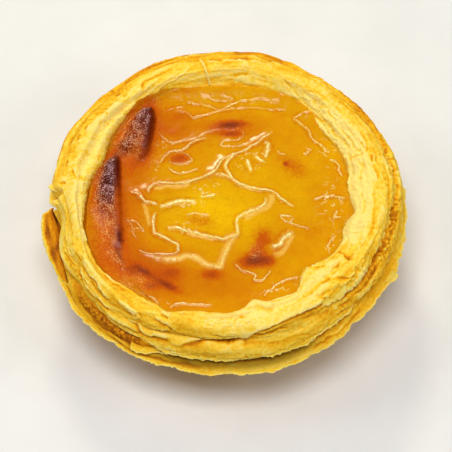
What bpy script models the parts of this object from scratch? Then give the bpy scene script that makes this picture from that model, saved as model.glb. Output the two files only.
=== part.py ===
"""A Portuguese custard tart: a rolled puff pastry case and the baked custard that fills it.

Metres, +Z up. The origin is the middle of the flat base. Azimuth 0 is +X, 90 degrees is +Y.
"""

import math

import bpy

MM = 0.001

SEGMENTS = 84            # facets round both pieces, the same so that the gap between them stays even
FIT_GAP = 0.3 * MM       # between the custard and the pastry that it was baked in
SHARP_ANGLE = 50         # degrees between facets above which an edge is drawn sharp

# Pastry case, outside
BASE_RADIUS = 26.5 * MM
BASE_EDGE = 1.2 * MM     # rounding of the foot
BASE_EDGE_MIDDLE = (0.2, 0.5)  # middle of that rounding, as shares of it: inwards from the side and up
SIDE_TOP_RADIUS = 36.2 * MM
SIDE_TOP_HEIGHT = 14.8 * MM
SIDE_BULGE = 0.9 * MM    # how far the side swells past a straight taper
SIDE_STEPS = 6
RIM_OVAL = 0.4 * MM      # half the difference between the rim's width and its depth
SIDE_LAYER = 0.22 * MM   # height of the layers that show down the side
LAYER_PHASE = 1.1        # how far the wave of each layer is turned from the one below
LEAF_RADIUS = 38.6 * MM  # torn edge of the lowest leaf, the widest part of the tart
LEAF_RINGS = 3           # how many of the rim's first stations belong to the leaf
WAVE_ORDERS = (2, 3, 5, 8, 13)  # waves round the tart that add up to an uneven ring
WANDER_PHASE = 2.0       # turn of the rings' wave in and out
HEIGHT_PHASE = 5.0       # turn of their wave up and down
PHASE_STEP = 0.3         # further turn from one ring to the next
HEIGHT_WANDER = 0.5      # wave up and down as a share of the wave in and out

# Rim: each station is a ring of the rolled edge, from the leaf's torn edge over the top to the lip. It holds the
# distance inside the leaf's edge and the height, first on the near side (-Y), then on the far side (+Y), and then
# how far the ring wanders in and out.
RIM_STATIONS = (
    # near in, near z, far in, far z, wander (all mm)
    (0.1, 16.1, 0.6, 17.2, 0.40),    # leaf, lower corner of the torn edge
    (0.0, 16.8, 0.5, 17.9, 0.40),    # leaf, upper corner
    (1.7, 17.5, 1.3, 19.0, 0.30),    # leaf, where it goes in under the second roll
    (3.8, 18.2, 2.0, 20.2, 0.30),    # brown gap
    (2.5, 18.9, 0.5, 21.3, 0.60),    # second roll, torn lower edge
    (2.4, 20.2, -0.1, 23.2, 0.55),   # second roll, its bulge
    (3.3, 20.8, 0.6, 23.8, 0.45),    # crease along the second roll
    (3.3, 21.9, 0.2, 25.0, 0.50),    # second roll, top
    (5.3, 22.3, 1.7, 25.0, 0.30),    # crevice
    (4.9, 23.7, 2.2, 26.1, 0.50),    # main roll, outer flank
    (5.7, 24.3, 3.4, 25.9, 0.45),    # crease along the flank
    (5.6, 25.3, 4.0, 26.6, 0.50),    # main roll, shoulder
    (6.5, 25.4, 4.9, 26.3, 0.45),    # crease on top
    (7.2, 26.0, 5.9, 26.8, 0.50),    # crest
)
# Lip: its rings, as shares of the way from the cavity's wall out to the rim's crest. On the near side it is a fold
# that stands over the custard, and on the far side a slope down to it.
LIP_STATIONS = (
    # near share, near z (mm), far share, far z (mm)
    (0.65, 25.4, 0.75, 25.9),        # shallow fold behind the lip
    (0.36, 25.8, 0.48, 24.9),        # lip
    (0.10, 25.0, 0.20, 23.9),        # lip, inner corner
)
LIP_FOLD = (159.0, 45.0)  # the lip is a fold here too, on the left: azimuth and half width (degrees)

# Where the whole rim is pressed in: azimuth (degrees), depth (mm), half width (degrees)
RIM_FLATS = (
    (125.0, 0.8, 30.0),
    (85.0, 0.4, 20.0),
    (318.0, 1.0, 22.0),
    (46.0, 1.1, 16.0),
    (150.0, -0.5, 16.0),
    (230.0, -0.5, 12.0),
)
# The rolls are pressed in beside the flake: first and last station, azimuth (degrees), depth (mm), half width
# (degrees)
ROLL_DENTS = (
    (3, 9, 187.0, 2.5, 9.0),
)
# The brown pocket at the lower left, where the gap is filled: station, shift outwards (mm), azimuth, half width
# (degrees)
POCKET = (
    (2, 0.7, 227.0, 16.0),
    (3, 2.2, 227.0, 16.0),
)
# The leaf's torn flake on the left, and the nick beside it: azimuth (degrees), reach (mm), half width (degrees)
LEAF_TEARS = (
    (193.0, 1.7, 9.0),
    (177.0, -1.3, 4.0),
    (352.0, 0.9, 9.0),
    (238.0, -0.8, 14.0),
)

# Cavity that the custard fills
CAVITY_RADIUS = 28.5 * MM
CAVITY_CENTRE = (-1.2 * MM, 0.4 * MM)
CAVITY_FLOOR = 3.4 * MM
CAVITY_FLOOR_RADIUS = 20.8 * MM
CAVITY_CORNER = 1.5 * MM
CAVITY_CORNER_MIDDLE = (0.35, 0.3)  # middle of the corner's rounding, as shares of it: inwards and up
CAVITY_CORNER_END = 0.3  # where the floor begins, as a share of the rounding
CAVITY_WALL_STEPS = 5
CAVITY_WALL_CURVE = 1.2  # above 1 the wall is steeper near the top
CUSTARD_LEVEL = 23.2 * MM
# Lobes of the lip that lie over the custard: azimuth (degrees), reach (mm), half width (degrees)
LIP_LOBES = (
    (88.0, 0.8, 26.0),
    (160.0, 1.7, 12.0),
    (197.0, -1.5, 13.0),
    (216.0, -1.6, 13.0),
    (259.0, 0.8, 5.0),
    (282.5, 2.6, 5.5),
    (292.0, 1.0, 4.5),
    (318.0, 2.2, 12.0),
    (344.0, 1.4, 5.0),
    (353.0, -0.9, 3.0),
    (30.0, 0.9, 6.0),
)

# Custard, top
CUSTARD_RINGS = 19
CUSTARD_DOME = 0.5 * MM
CUSTARD_SWELL = 0.18 * MM
SWELL_SIZE = (3.1 * MM, 3.7 * MM)
# Wrinkles of the skin: points (mm) along the ridge, its height (mm) and half width (mm)
CUSTARD_RIDGES = (
    (((-16.5, 23.0), (-18.5, 16.5), (-20.0, 11.0)), 1.4, 2.2),                      # burnt, far
    (((-24.2, 10.5), (-25.0, 5.0), (-25.2, -4.0), (-23.0, -11.0)), 1.2, 2.0),       # burnt, left
    (((-16.0, 3.2), (-8.0, 4.4), (-1.5, 8.2), (5.0, 13.0), (10.0, 17.0)), 0.6, 1.7),
    (((1.5, 11.0), (0.0, 7.5), (4.5, 3.2), (14.5, -1.2)), 0.6, 1.7),
    (((8.5, 0.5), (3.0, -4.0), (2.0, -8.6), (-3.0, -9.8), (-11.0, -7.4)), 0.5, 1.7),
    (((-16.0, -13.7), (-7.0, -13.2), (-2.0, -16.0), (2.6, -9.3)), 0.4, 1.7),
)


def angle_of(index):
    return 2 * math.pi * index / SEGMENTS


def bump(theta, azimuth, half_width):
    """1 at the azimuth (degrees), falling smoothly to nothing past about two half widths."""
    off = (math.degrees(theta) - azimuth + 180) % 360 - 180
    return math.exp(-(off / half_width) ** 2)


def uneven(theta, phase):
    """A wave between about -1 and 1 that closes on itself round the tart; each phase gives another one."""
    total = 0
    for order in WAVE_ORDERS:
        total += math.cos(order * theta + phase * order) / math.sqrt(order)
    return total / 2


def nearness(theta):
    """1 on the near side (-Y), 0 on the far side."""
    return 0.5 - 0.5 * math.sin(theta)


def mix(near, far, share):
    return near * share + far * (1 - share)


def blend(near, far, theta):
    return mix(near, far, nearness(theta))


def rim_radius(theta):
    """The rim's outer radius without the tears: a little wider from left to right than from near to far."""
    radius = LEAF_RADIUS + RIM_OVAL * math.cos(2 * theta)
    for azimuth, depth, half_width in RIM_FLATS:
        radius -= depth * MM * bump(theta, azimuth, half_width)
    return radius


def leaf_tear(theta):
    """How far the leaf's torn edge reaches past the rim's outline."""
    return sum(reach * MM * bump(theta, azimuth, half_width) for azimuth, reach, half_width in LEAF_TEARS)


def cavity_edge(theta):
    """Distance from the tart's axis to the cavity's wall, level with the custard."""
    along = CAVITY_CENTRE[0] * math.cos(theta) + CAVITY_CENTRE[1] * math.sin(theta)
    across = CAVITY_CENTRE[0] * math.sin(theta) - CAVITY_CENTRE[1] * math.cos(theta)
    radius = along + math.sqrt(CAVITY_RADIUS ** 2 - across ** 2)
    for azimuth, reach, half_width in LIP_LOBES:
        radius -= reach * MM * bump(theta, azimuth, half_width)
    return radius


def cavity_profile(theta):
    """The cavity's wall and corner as (radius, height), from the custard's level down to the floor."""
    edge = cavity_edge(theta)
    wall_foot = CAVITY_FLOOR_RADIUS + CAVITY_CORNER
    corner_height = CAVITY_FLOOR + CAVITY_CORNER
    profile = []
    for step in range(CAVITY_WALL_STEPS):
        share = step / (CAVITY_WALL_STEPS - 1)
        radius = edge + (wall_foot - edge) * share ** CAVITY_WALL_CURVE
        profile.append((radius, CUSTARD_LEVEL + (corner_height - CUSTARD_LEVEL) * share))
    inwards, up = CAVITY_CORNER_MIDDLE
    profile.append((wall_foot - inwards * CAVITY_CORNER, CAVITY_FLOOR + up * CAVITY_CORNER))
    profile.append((CAVITY_FLOOR_RADIUS - CAVITY_CORNER_END * CAVITY_CORNER, CAVITY_FLOOR))
    return profile


def case_profile(theta):
    """The case's section as (radius, height): foot, side, rim, lip, cavity wall and floor."""
    inwards, up = BASE_EDGE_MIDDLE
    profile = [(BASE_RADIUS - BASE_EDGE, 0.0), (BASE_RADIUS - inwards * BASE_EDGE, up * BASE_EDGE)]
    for step in range(1, SIDE_STEPS + 1):
        share = step / SIDE_STEPS
        radius = BASE_RADIUS + (SIDE_TOP_RADIUS - BASE_RADIUS) * share
        radius += SIDE_BULGE * math.sin(math.pi * share)
        radius += SIDE_LAYER * uneven(theta, LAYER_PHASE * step)
        profile.append((radius, BASE_EDGE + (SIDE_TOP_HEIGHT - BASE_EDGE) * share))
    for number, (near_in, near_z, far_in, far_z, wander) in enumerate(RIM_STATIONS):
        radius = rim_radius(theta) - blend(near_in, far_in, theta) * MM
        if number < LEAF_RINGS:
            radius += leaf_tear(theta)
        for first, last, azimuth, depth, half_width in ROLL_DENTS:
            if first <= number <= last:
                radius -= depth * MM * bump(theta, azimuth, half_width)
        for station, shift, azimuth, half_width in POCKET:
            if station == number:
                radius += shift * MM * bump(theta, azimuth, half_width)
        # neighbouring rings wander much alike, so that the rolls stay rolls
        turn = PHASE_STEP * number
        radius += wander * MM * uneven(theta, WANDER_PHASE + turn)
        height = blend(near_z, far_z, theta) * MM
        height += HEIGHT_WANDER * wander * MM * uneven(theta, HEIGHT_PHASE + turn)
        profile.append((radius, height))
    cavity = cavity_profile(theta)
    wall = cavity[0][0]
    crest = profile[-1][0]
    fold = max(nearness(theta), bump(theta, *LIP_FOLD))
    for near_share, near_z, far_share, far_z in LIP_STATIONS:
        radius = wall + (crest - wall) * mix(near_share, far_share, fold)
        profile.append((radius, mix(near_z, far_z, fold) * MM))
    return profile + cavity


def distance_to_path(x, y, points):
    nearest = math.inf
    for (ax, ay), (bx, by) in zip(points, points[1:]):
        length_squared = (bx - ax) ** 2 + (by - ay) ** 2
        share = ((x - ax) * (bx - ax) + (y - ay) * (by - ay)) / length_squared
        share = min(1, max(0, share))
        nearest = min(nearest, math.hypot(x - ax - share * (bx - ax), y - ay - share * (by - ay)))
    return nearest


def custard_height(x, y, share):
    """Height of the custard's skin at a point; share is 0 in the middle and 1 at the edge."""
    height = CUSTARD_LEVEL + CUSTARD_DOME * (1 - share ** 2)
    height += CUSTARD_SWELL * math.sin(x / SWELL_SIZE[0]) * math.cos(y / SWELL_SIZE[1]) * (1 - share)
    for points, ridge_height, half_width in CUSTARD_RIDGES:
        off = distance_to_path(x / MM, y / MM, points) / half_width
        height += ridge_height * MM * math.exp(-off ** 2)
    return height


def custard_rings():
    """The custard as rings of points, from the middle of its top over the edge to its underside."""
    rings = []
    for ring in range(1, CUSTARD_RINGS + 1):
        share = ring / CUSTARD_RINGS
        points = []
        for index in range(SEGMENTS):
            theta = angle_of(index)
            radius = (cavity_edge(theta) - FIT_GAP) * share
            x = radius * math.cos(theta)
            y = radius * math.sin(theta)
            points.append((x, y, custard_height(x, y, share)))
        rings.append(points)
    for level in range(1, len(cavity_profile(0))):
        points = []
        for index in range(SEGMENTS):
            theta = angle_of(index)
            radius, height = cavity_profile(theta)[level]
            radius -= FIT_GAP
            points.append((radius * math.cos(theta), radius * math.sin(theta), height + FIT_GAP))
        rings.append(points)
    return rings


def case_rings():
    """The case as rings of points, from the foot over the rim to the cavity's floor."""
    profiles = [case_profile(angle_of(index)) for index in range(SEGMENTS)]
    rings = []
    for level in range(len(profiles[0])):
        points = []
        for index, profile in enumerate(profiles):
            radius, height = profile[level]
            points.append((radius * math.cos(angle_of(index)), radius * math.sin(angle_of(index)), height))
        rings.append(points)
    return rings


def closed_mesh(name, rings, first_centre, last_centre):
    """A closed skin over the rings, with a fan of triangles to a centre point at each end."""
    vertices = [point for ring in rings for point in ring]
    first = len(vertices)
    last = first + 1
    vertices += [first_centre, last_centre]
    faces = []
    for index in range(SEGMENTS):
        following = (index + 1) % SEGMENTS
        for level in range(len(rings) - 1):
            inner = level * SEGMENTS
            outer = inner + SEGMENTS
            faces.append((inner + index, inner + following, outer + following, outer + index))
        faces.append((first, following, index))
        end = (len(rings) - 1) * SEGMENTS
        faces.append((last, end + index, end + following))
    mesh = bpy.data.meshes.new(name)
    mesh.from_pydata(vertices, [], faces)
    mesh.shade_smooth()
    mesh.set_sharp_from_angle(angle=math.radians(SHARP_ANGLE))
    return mesh


def plain_material(name, colour, roughness):
    material = bpy.data.materials.new(name)
    material.use_nodes = True
    shader = material.node_tree.nodes["Principled BSDF"]
    shader.inputs["Base Color"].default_value = (*colour, 1)
    shader.inputs["Roughness"].default_value = roughness
    shader.inputs["Metallic"].default_value = 0
    return material


def add_piece(name, mesh, material):
    mesh.materials.append(material)
    piece = bpy.data.objects.new(name, mesh)
    bpy.context.scene.collection.objects.link(piece)
    return piece


def flip(mesh):
    mesh.flip_normals()
    return mesh


def main():
    for old in list(bpy.data.objects):
        bpy.data.objects.remove(old)
    case_mesh = closed_mesh("pastry_case", case_rings(), (0, 0, 0), (0, 0, CAVITY_FLOOR))
    add_piece("pastry_case", case_mesh, plain_material("baked_pastry", (0.86, 0.56, 0.13), 0.6))
    top = custard_height(0, 0, 0)
    underside = CAVITY_FLOOR + FIT_GAP
    custard_mesh = closed_mesh("custard_filling", custard_rings(), (0, 0, top), (0, 0, underside))
    add_piece("custard_filling", flip(custard_mesh), plain_material("baked_custard", (0.80, 0.36, 0.01), 0.2))


main()
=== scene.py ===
"""The looks of a Portuguese custard tart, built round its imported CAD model.

Shapes are worked out in millimetres, in the CAD's frame: +Z up, azimuth 0 is +X, 90 degrees is +Y, and the
near side is -Y. Meshes are turned into metres when they are made.
"""

import math

import bpy
import numpy as np
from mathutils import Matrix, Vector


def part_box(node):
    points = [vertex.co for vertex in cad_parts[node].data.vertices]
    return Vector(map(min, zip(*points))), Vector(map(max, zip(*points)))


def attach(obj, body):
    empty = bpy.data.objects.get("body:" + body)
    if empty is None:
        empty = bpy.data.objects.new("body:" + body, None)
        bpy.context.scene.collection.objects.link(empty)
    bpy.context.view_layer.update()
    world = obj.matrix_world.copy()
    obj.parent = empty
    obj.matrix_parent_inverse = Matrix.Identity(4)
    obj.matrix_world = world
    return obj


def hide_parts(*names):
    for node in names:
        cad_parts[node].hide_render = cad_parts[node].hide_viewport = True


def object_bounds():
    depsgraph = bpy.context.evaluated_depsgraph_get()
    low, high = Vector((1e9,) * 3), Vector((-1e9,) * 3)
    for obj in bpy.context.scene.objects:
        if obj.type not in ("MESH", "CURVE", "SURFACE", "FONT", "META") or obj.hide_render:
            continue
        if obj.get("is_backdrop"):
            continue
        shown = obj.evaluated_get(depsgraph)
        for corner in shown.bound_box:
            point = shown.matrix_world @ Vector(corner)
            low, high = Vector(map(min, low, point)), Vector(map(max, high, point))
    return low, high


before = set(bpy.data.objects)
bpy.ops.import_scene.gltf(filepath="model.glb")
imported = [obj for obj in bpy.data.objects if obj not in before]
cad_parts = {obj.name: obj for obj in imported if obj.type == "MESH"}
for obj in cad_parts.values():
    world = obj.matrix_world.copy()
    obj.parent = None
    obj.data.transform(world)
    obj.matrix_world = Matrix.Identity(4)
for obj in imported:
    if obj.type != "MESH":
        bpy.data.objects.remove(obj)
cad_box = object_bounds()

MM = 0.001

# Frame sizes, mm
CASE_LOW, CASE_HIGH = (np.array(corner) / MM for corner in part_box("pastry_case"))
LEAF_RADIUS = (CASE_HIGH[0] - CASE_LOW[0]) / 2 - 0.9
RIM_OVAL = 0.4
BASE_RADIUS = 26.5
BASE_EDGE = 1.2
SIDE_TOP_RADIUS = 36.2
SIDE_TOP_HEIGHT = 14.8
SIDE_BULGE = 0.9
# Length along the sloping side for each mm of height
SIDE_STRETCH = 1.2
CAVITY_RADIUS = 28.5
CAVITY_CENTRE = (-1.2, 0.4)
CAVITY_FLOOR = 3.4
CAVITY_FLOOR_RADIUS = 21.5
CUSTARD_LEVEL = 23.2
# Radii at which lengths round the rim and round the side are measured, mm
RIM_SCALE_RADIUS = 35.0
SIDE_SCALE_RADIUS = 32.0
CUSTARD_DEPTH = 18.4
# How gently the custard's skin meets the pastry, mm
EDGE_SOFTNESS = 0.5

RIM_SEGMENTS = 1500
RIM_ROWS = 124
SHELL_SEGMENTS = 720
CUSTARD_SEGMENTS = 1040
CUSTARD_ROWS = 180

# ---------------------------------------------------------------------------------------------------------
# Noise
# ---------------------------------------------------------------------------------------------------------

GRADIENTS = np.array([
    (1, 1, 0), (-1, 1, 0), (1, -1, 0), (-1, -1, 0), (1, 0, 1), (-1, 0, 1), (1, 0, -1), (-1, 0, -1),
    (0, 1, 1), (0, -1, 1), (0, 1, -1), (0, -1, -1), (1, 1, 0), (-1, 1, 0), (0, -1, 1), (0, -1, -1),
], dtype=float)


def lattice_hash(ix, iy, iz, seed):
    value = (ix * 374761393 + iy * 668265263 + iz * 1442695041 + seed * 1274126177) & 0xFFFFFFFF
    value = ((value ^ (value >> 13)) * 1103515245) & 0xFFFFFFFF
    value = ((value ^ (value >> 15)) * 2246822519) & 0xFFFFFFFF
    return (value ^ (value >> 16)) & 0xFFFFFFFF


def noise(x, y, z, seed=0):
    """Gradient noise of three coordinates, about -1 to 1."""
    x, y, z = np.broadcast_arrays(np.asarray(x, float), np.asarray(y, float), np.asarray(z, float))
    ix, iy, iz = (np.floor(c).astype(np.int64) for c in (x, y, z))
    fx, fy, fz = x - ix, y - iy, z - iz
    wx, wy, wz = (f * f * f * (f * (f * 6 - 15) + 10) for f in (fx, fy, fz))
    total = np.zeros(x.shape)
    for dx in (0, 1):
        for dy in (0, 1):
            for dz in (0, 1):
                slope = GRADIENTS[lattice_hash(ix + dx, iy + dy, iz + dz, seed) & 15]
                lean = slope[..., 0] * (fx - dx) + slope[..., 1] * (fy - dy) + slope[..., 2] * (fz - dz)
                share = (wx if dx else 1 - wx) * (wy if dy else 1 - wy) * (wz if dz else 1 - wz)
                total += lean * share
    return total


def fractal(x, y, z, octaves, seed=0):
    """Noise summed over octaves, each half the size and half the strength of the last."""
    total = 0
    for octave in range(octaves):
        size = 2 ** octave
        total = total + noise(x * size, y * size, z * size, seed + 17 * octave) / size
    return total


def ring_noise(theta, across, along_size, across_size, seed=0, octaves=1):
    """Noise that closes on itself round the tart, with grains along_size mm long and across_size mm wide."""
    x = np.cos(theta) * RIM_SCALE_RADIUS / along_size
    y = np.sin(theta) * RIM_SCALE_RADIUS / along_size
    return fractal(x, y, across / across_size, octaves, seed)


def smooth(low, high, value):
    share = np.clip((value - low) / (high - low), 0, 1)
    return share * share * (3 - 2 * share)


def turn_between(theta, azimuth):
    """The angle in degrees from the azimuth to theta, -180 to 180."""
    return (np.degrees(theta) - azimuth + 180) % 360 - 180


def bump(theta, azimuth, half_width):
    return np.exp(-(turn_between(theta, azimuth) / half_width) ** 2)


def arc(theta, start, end, soft=6.0):
    """1 from the start azimuth round to the end azimuth (degrees), fading over soft degrees at both ends."""
    middle = (start + end) / 2
    off = np.abs(turn_between(theta, middle))
    half = (end - start) / 2
    return 1 - smooth(half - soft / 2, half + soft / 2, off)


def by_azimuth(theta, table, column=1):
    """A value read from a table of (azimuth, values) that runs from 0 to 360 degrees."""
    turn = np.degrees(theta) % 360
    return np.interp(turn, [row[0] for row in table], [row[column] for row in table])


# ---------------------------------------------------------------------------------------------------------
# Mesh making
# ---------------------------------------------------------------------------------------------------------


def add_mesh(name, points, quads, material, fields=None):
    """A smooth-shaded mesh object from points in mm, quads of indices, and named values for each point."""
    mesh = bpy.data.meshes.new(name)
    points = np.asarray(points, np.float32) * MM
    quads = np.asarray(quads, np.int32)
    mesh.vertices.add(len(points))
    mesh.vertices.foreach_set("co", points.ravel())
    mesh.loops.add(quads.size)
    mesh.loops.foreach_set("vertex_index", quads.ravel())
    mesh.polygons.add(len(quads))
    mesh.polygons.foreach_set("loop_start", np.arange(0, quads.size, 4, dtype=np.int32))
    mesh.update(calc_edges=True)
    for key, values in (fields or {}).items():
        attribute = mesh.attributes.new(key, "FLOAT", "POINT")
        attribute.data.foreach_set("value", np.asarray(values, np.float32).ravel())
    mesh.validate()
    mesh.shade_smooth()
    mesh.materials.append(material)
    piece = bpy.data.objects.new(name, mesh)
    bpy.context.scene.collection.objects.link(piece)
    return piece


def ring_quads(rows, segments):
    """Quads between rows of a grid that closes on itself round the tart."""
    row = np.arange(rows - 1)[:, None] * segments
    index = np.arange(segments)[None, :]
    following = (index + 1) % segments
    quads = np.stack([row + index, row + following, row + segments + following, row + segments + index], -1)
    return quads.reshape(-1, 4)


def open_ring_quads(rows, columns, closed=True):
    """Quads between rows of points round a stretch of the tart; a closed set of rows is a tube."""
    row = np.arange(rows if closed else rows - 1)[:, None] * columns
    following_row = (np.arange(1, rows + (1 if closed else 0)) % rows)[:, None] * columns
    index = np.arange(columns - 1)[None, :]
    quads = np.stack([row + index, row + index + 1, following_row + index + 1, following_row + index], -1)
    return quads.reshape(-1, 4)


def polar_points(theta, radius, height):
    return np.stack([radius * np.cos(theta), radius * np.sin(theta), height], -1)


def surface_normals(grid):
    """Unit normals of a grid of points that closes on itself along its second axis."""
    along = np.roll(grid, -1, 1) - np.roll(grid, 1, 1)
    across = np.gradient(grid, axis=0)
    normal = np.cross(along, across)
    return normal / (np.linalg.norm(normal, axis=-1, keepdims=True) + 1e-9)


def catmull_rom(stations, position):
    """The smooth curve through the stations (first axis), at fractional station numbers."""
    last = len(stations) - 1
    index = np.clip(np.floor(position).astype(int), 0, last - 1)
    t = (position - index).reshape((-1,) + (1,) * (stations.ndim - 1))
    before, start, end, after = (stations[np.clip(index + step, 0, last)] for step in (-1, 0, 1, 2))
    return 0.5 * (
        2 * start
        + (end - before) * t
        + (2 * before - 5 * start + 4 * end - after) * t ** 2
        + (3 * start - before - 3 * end + after) * t ** 3
    )


def even_positions(stations, rows, fine_from, fine_to, coarseness):
    """Station numbers that cut the curve through the stations into rows, and how far along it they are.

    The rows are coarser outside the fine stretch.
    """
    dense = np.linspace(0, len(stations) - 1, rows * 12)
    curve = catmull_rom(stations, dense)
    steps = np.linalg.norm(np.diff(curve, axis=0), axis=-1).mean(axis=-1)
    length = np.concatenate([[0], np.cumsum(steps)])
    fine = (dense[1:] > fine_from) & (dense[1:] < fine_to)
    cost = np.concatenate([[0], np.cumsum(steps * np.where(fine, 1, coarseness))])
    position = np.interp(np.linspace(0, cost[-1], rows), cost, dense)
    return position, np.interp(position, dense, length)


def smooth_path(points, steps=8):
    points = np.array(points, float)
    return catmull_rom(points, np.linspace(0, len(points) - 1, (len(points) - 1) * steps + 1))


def path_distance(x, y, points):
    """Distance from places to a smooth path, above 0 on its left, and how far along it they are, 0 to 1."""
    path = smooth_path(points)
    nearest = np.full(x.shape, 1e9)
    along = np.zeros(x.shape)
    side = np.ones(x.shape)
    count = len(path) - 1
    for index in range(count):
        ax, ay = path[index]
        run, rise = path[index + 1] - path[index]
        share = np.clip(((x - ax) * run + (y - ay) * rise) / max(run ** 2 + rise ** 2, 1e-9), 0, 1)
        far = np.hypot(x - ax - share * run, y - ay - share * rise)
        closer = far < nearest
        nearest = np.where(closer, far, nearest)
        along = np.where(closer, (index + share) / count, along)
        side = np.where(closer, run * (y - ay) - rise * (x - ax), side)
    return nearest * np.where(side < 0, -1, 1), along


# ---------------------------------------------------------------------------------------------------------
# Shape of the case
# ---------------------------------------------------------------------------------------------------------

# Rings of the rolled edge, from under the leaf over the top to the cavity's wall, in mm: distance inside the
# leaf's edge and height on the near side (-Y), then both on the far side (+Y).
RIM_STATIONS = (
    (3.4, 13.6, 2.6, 14.0),     # 0 under the leaf, at the side
    (1.6, 15.3, 1.5, 16.3),     # 1 leaf's underside
    (0.15, 16.2, 0.65, 17.3),   # 2 leaf, lower corner
    (0.0, 16.75, 0.5, 17.85),   # 3 leaf, upper corner
    (1.7, 17.5, 1.3, 19.0),     # 4 leaf, going in under the second roll
    (3.8, 18.2, 2.0, 20.2),     # 5 brown gap
    (2.5, 18.9, 0.5, 21.3),     # 6 second roll, torn lower edge
    (2.4, 20.2, -0.1, 23.2),    # 7 second roll, bulge
    (3.4, 21.8, 0.3, 24.8),     # 8 second roll, top
    (4.8, 22.5, 1.8, 25.0),     # 9 crevice
    (4.9, 23.8, 2.3, 26.0),     # 10 main roll, flank
    (5.6, 25.3, 4.0, 26.6),     # 11 main roll, shoulder
    (7.2, 26.0, 5.9, 26.8),     # 12 crest
)
# Lip: shares of the way from the cavity's wall to the crest, and heights, near and far.
LIP_STATIONS = (
    (0.65, 25.4, 0.75, 25.9),   # 13 fold behind the lip
    (0.36, 25.8, 0.48, 24.9),   # 14 lip
    (0.08, 25.0, 0.20, 23.9),   # 15 lip, inner corner
)
GAP_STATION = 5
CREVICE_STATION = 9
# Where the inside of the rim begins
SHOULDER = 11.3

RIM_FLATS = (
    (125.0, 0.8, 30.0),
    (85.0, 0.4, 20.0),
    (318.0, 1.0, 22.0),
    (46.0, 1.1, 16.0),
    (150.0, -0.5, 16.0),
    (230.0, -0.5, 12.0),
)
LIP_LOBES = (
    (88.0, 0.8, 26.0),
    (160.0, 1.7, 12.0),
    (197.0, -1.5, 13.0),
    (216.0, -1.6, 13.0),
    (229.0, 1.2, 6.0),
    (247.0, -1.3, 6.0),
    (259.0, 0.8, 5.0),
    (282.5, 2.6, 5.5),
    (292.0, 1.0, 4.5),
    (318.0, 2.2, 12.0),
    (312.5, 1.6, 6.0),
    (344.0, 1.4, 5.0),
    (353.0, -0.5, 3.0),
    (5.0, 0.9, 9.0),
    (38.0, 0.9, 8.0),
)


# Highest station the custard reaches, by azimuth
CUSTARD_EDGE = (
    (0, 16.0), (20, 15.9), (45, 15.9), (48, 15.1), (60, 14.5), (80, 15.1), (92, 15.9), (100, 15.8),
    (108, 15.2), (115, 14.4), (130, 13.9), (136, 15.0), (140, 15.8), (160, 16.0), (180, 15.8), (190, 15.4),
    (200, 15.1), (204, 14.8), (210, 14.4), (222, 14.4), (228, 14.2), (235, 14.4), (242, 14.8), (250, 15.4),
    (262, 15.8), (290, 16.0), (360, 16.0),
)
# Darkness of the gap over the leaf and of the far, outer flank, by azimuth
GAP_DARKNESS = (
    (0, 0.15), (10, 0.05), (195, 0.1), (208, 0.1), (212, 0.20), (217, 0.24), (233, 0.26), (240, 0.36),
    (250, 0.46), (285, 0.46), (298, 0.25), (310, 0.12), (340, 0.15), (346, 0.4), (356, 0.38), (360, 0.15),
)
OUTER_ORANGE = (
    (0, 0.05), (28, 0.1), (38, 0.25), (46, 0.08), (62, 0.1), (75, 0.25), (112, 0.24), (130, 0.10),
    (165, 0.08), (182, 0.05), (360, 0.05),
)
# How much custard has soaked the pastry at its edge, by azimuth, and how many stations up it goes
WET_EDGE = (
    (0, 0.5, 0.4), (40, 0.6, 0.6), (60, 0.6, 1.2), (78, 0.6, 1.9), (112, 0.6, 2.2), (126, 0.5, 1.4),
    (134, 0.9, 0.7), (175, 1.2, 0.6), (205, 1.2, 0.7), (230, 0.9, 0.5), (250, 0.3, 0.4), (305, 0.2, 0.3),
    (335, 0.4, 0.4), (360, 0.5, 0.4),
)
BITE = (178.3, 1.9, 1.3)
ROLL_DENT = (187.0, 2.2, 8.0)
# How much of the dent each station takes
DENT_SHARES = {4: 1.0, 5: 1.0, 6: 1.0, 7: 1.0, 8: 0.95, 9: 0.8, 10: 0.6, 11: 0.3}
# The brown pocket on the near side's left, the flaky side on its right and the plain roll on the left:
# station, then the shift inwards and up in mm
POCKET = {4: (-0.7, 0.1), 5: (-2.2, 0.5), 6: (0.3, 0.6), 7: (0.5, 0.2)}
FLAKY_SIDE = {4: (0.1, 0.3), 5: (-1.5, 0.5), 6: (0.2, 0.2)}
PLAIN_ROLL = {8: (0.0, 0.1), 9: (-0.6, 0.6), 10: (0.1, 0.2), 11: (0.0, -0.2)}


def nearness(theta):
    return 0.5 - 0.5 * np.sin(theta)


def custard_edge_station(theta):
    return by_azimuth(theta, CUSTARD_EDGE) + 0.22 * ring_noise(theta, 0.0, 2.6, 1.0, seed=15, octaves=3)


def rim_radius(theta):
    radius = LEAF_RADIUS + RIM_OVAL * np.cos(2 * theta)
    for azimuth, depth, half_width in RIM_FLATS:
        radius = radius - depth * bump(theta, azimuth, half_width)
    return radius


def cavity_edge(theta):
    """Distance from the tart's axis to the cavity's wall, level with the custard."""
    along = CAVITY_CENTRE[0] * np.cos(theta) + CAVITY_CENTRE[1] * np.sin(theta)
    across = CAVITY_CENTRE[0] * np.sin(theta) - CAVITY_CENTRE[1] * np.cos(theta)
    radius = along + np.sqrt(CAVITY_RADIUS ** 2 - across ** 2)
    for azimuth, reach, half_width in LIP_LOBES:
        radius = radius - reach * bump(theta, azimuth, half_width)
    return radius + 0.35 * ring_noise(theta, 0.0, 4.0, 1.0, seed=3, octaves=2)


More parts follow.
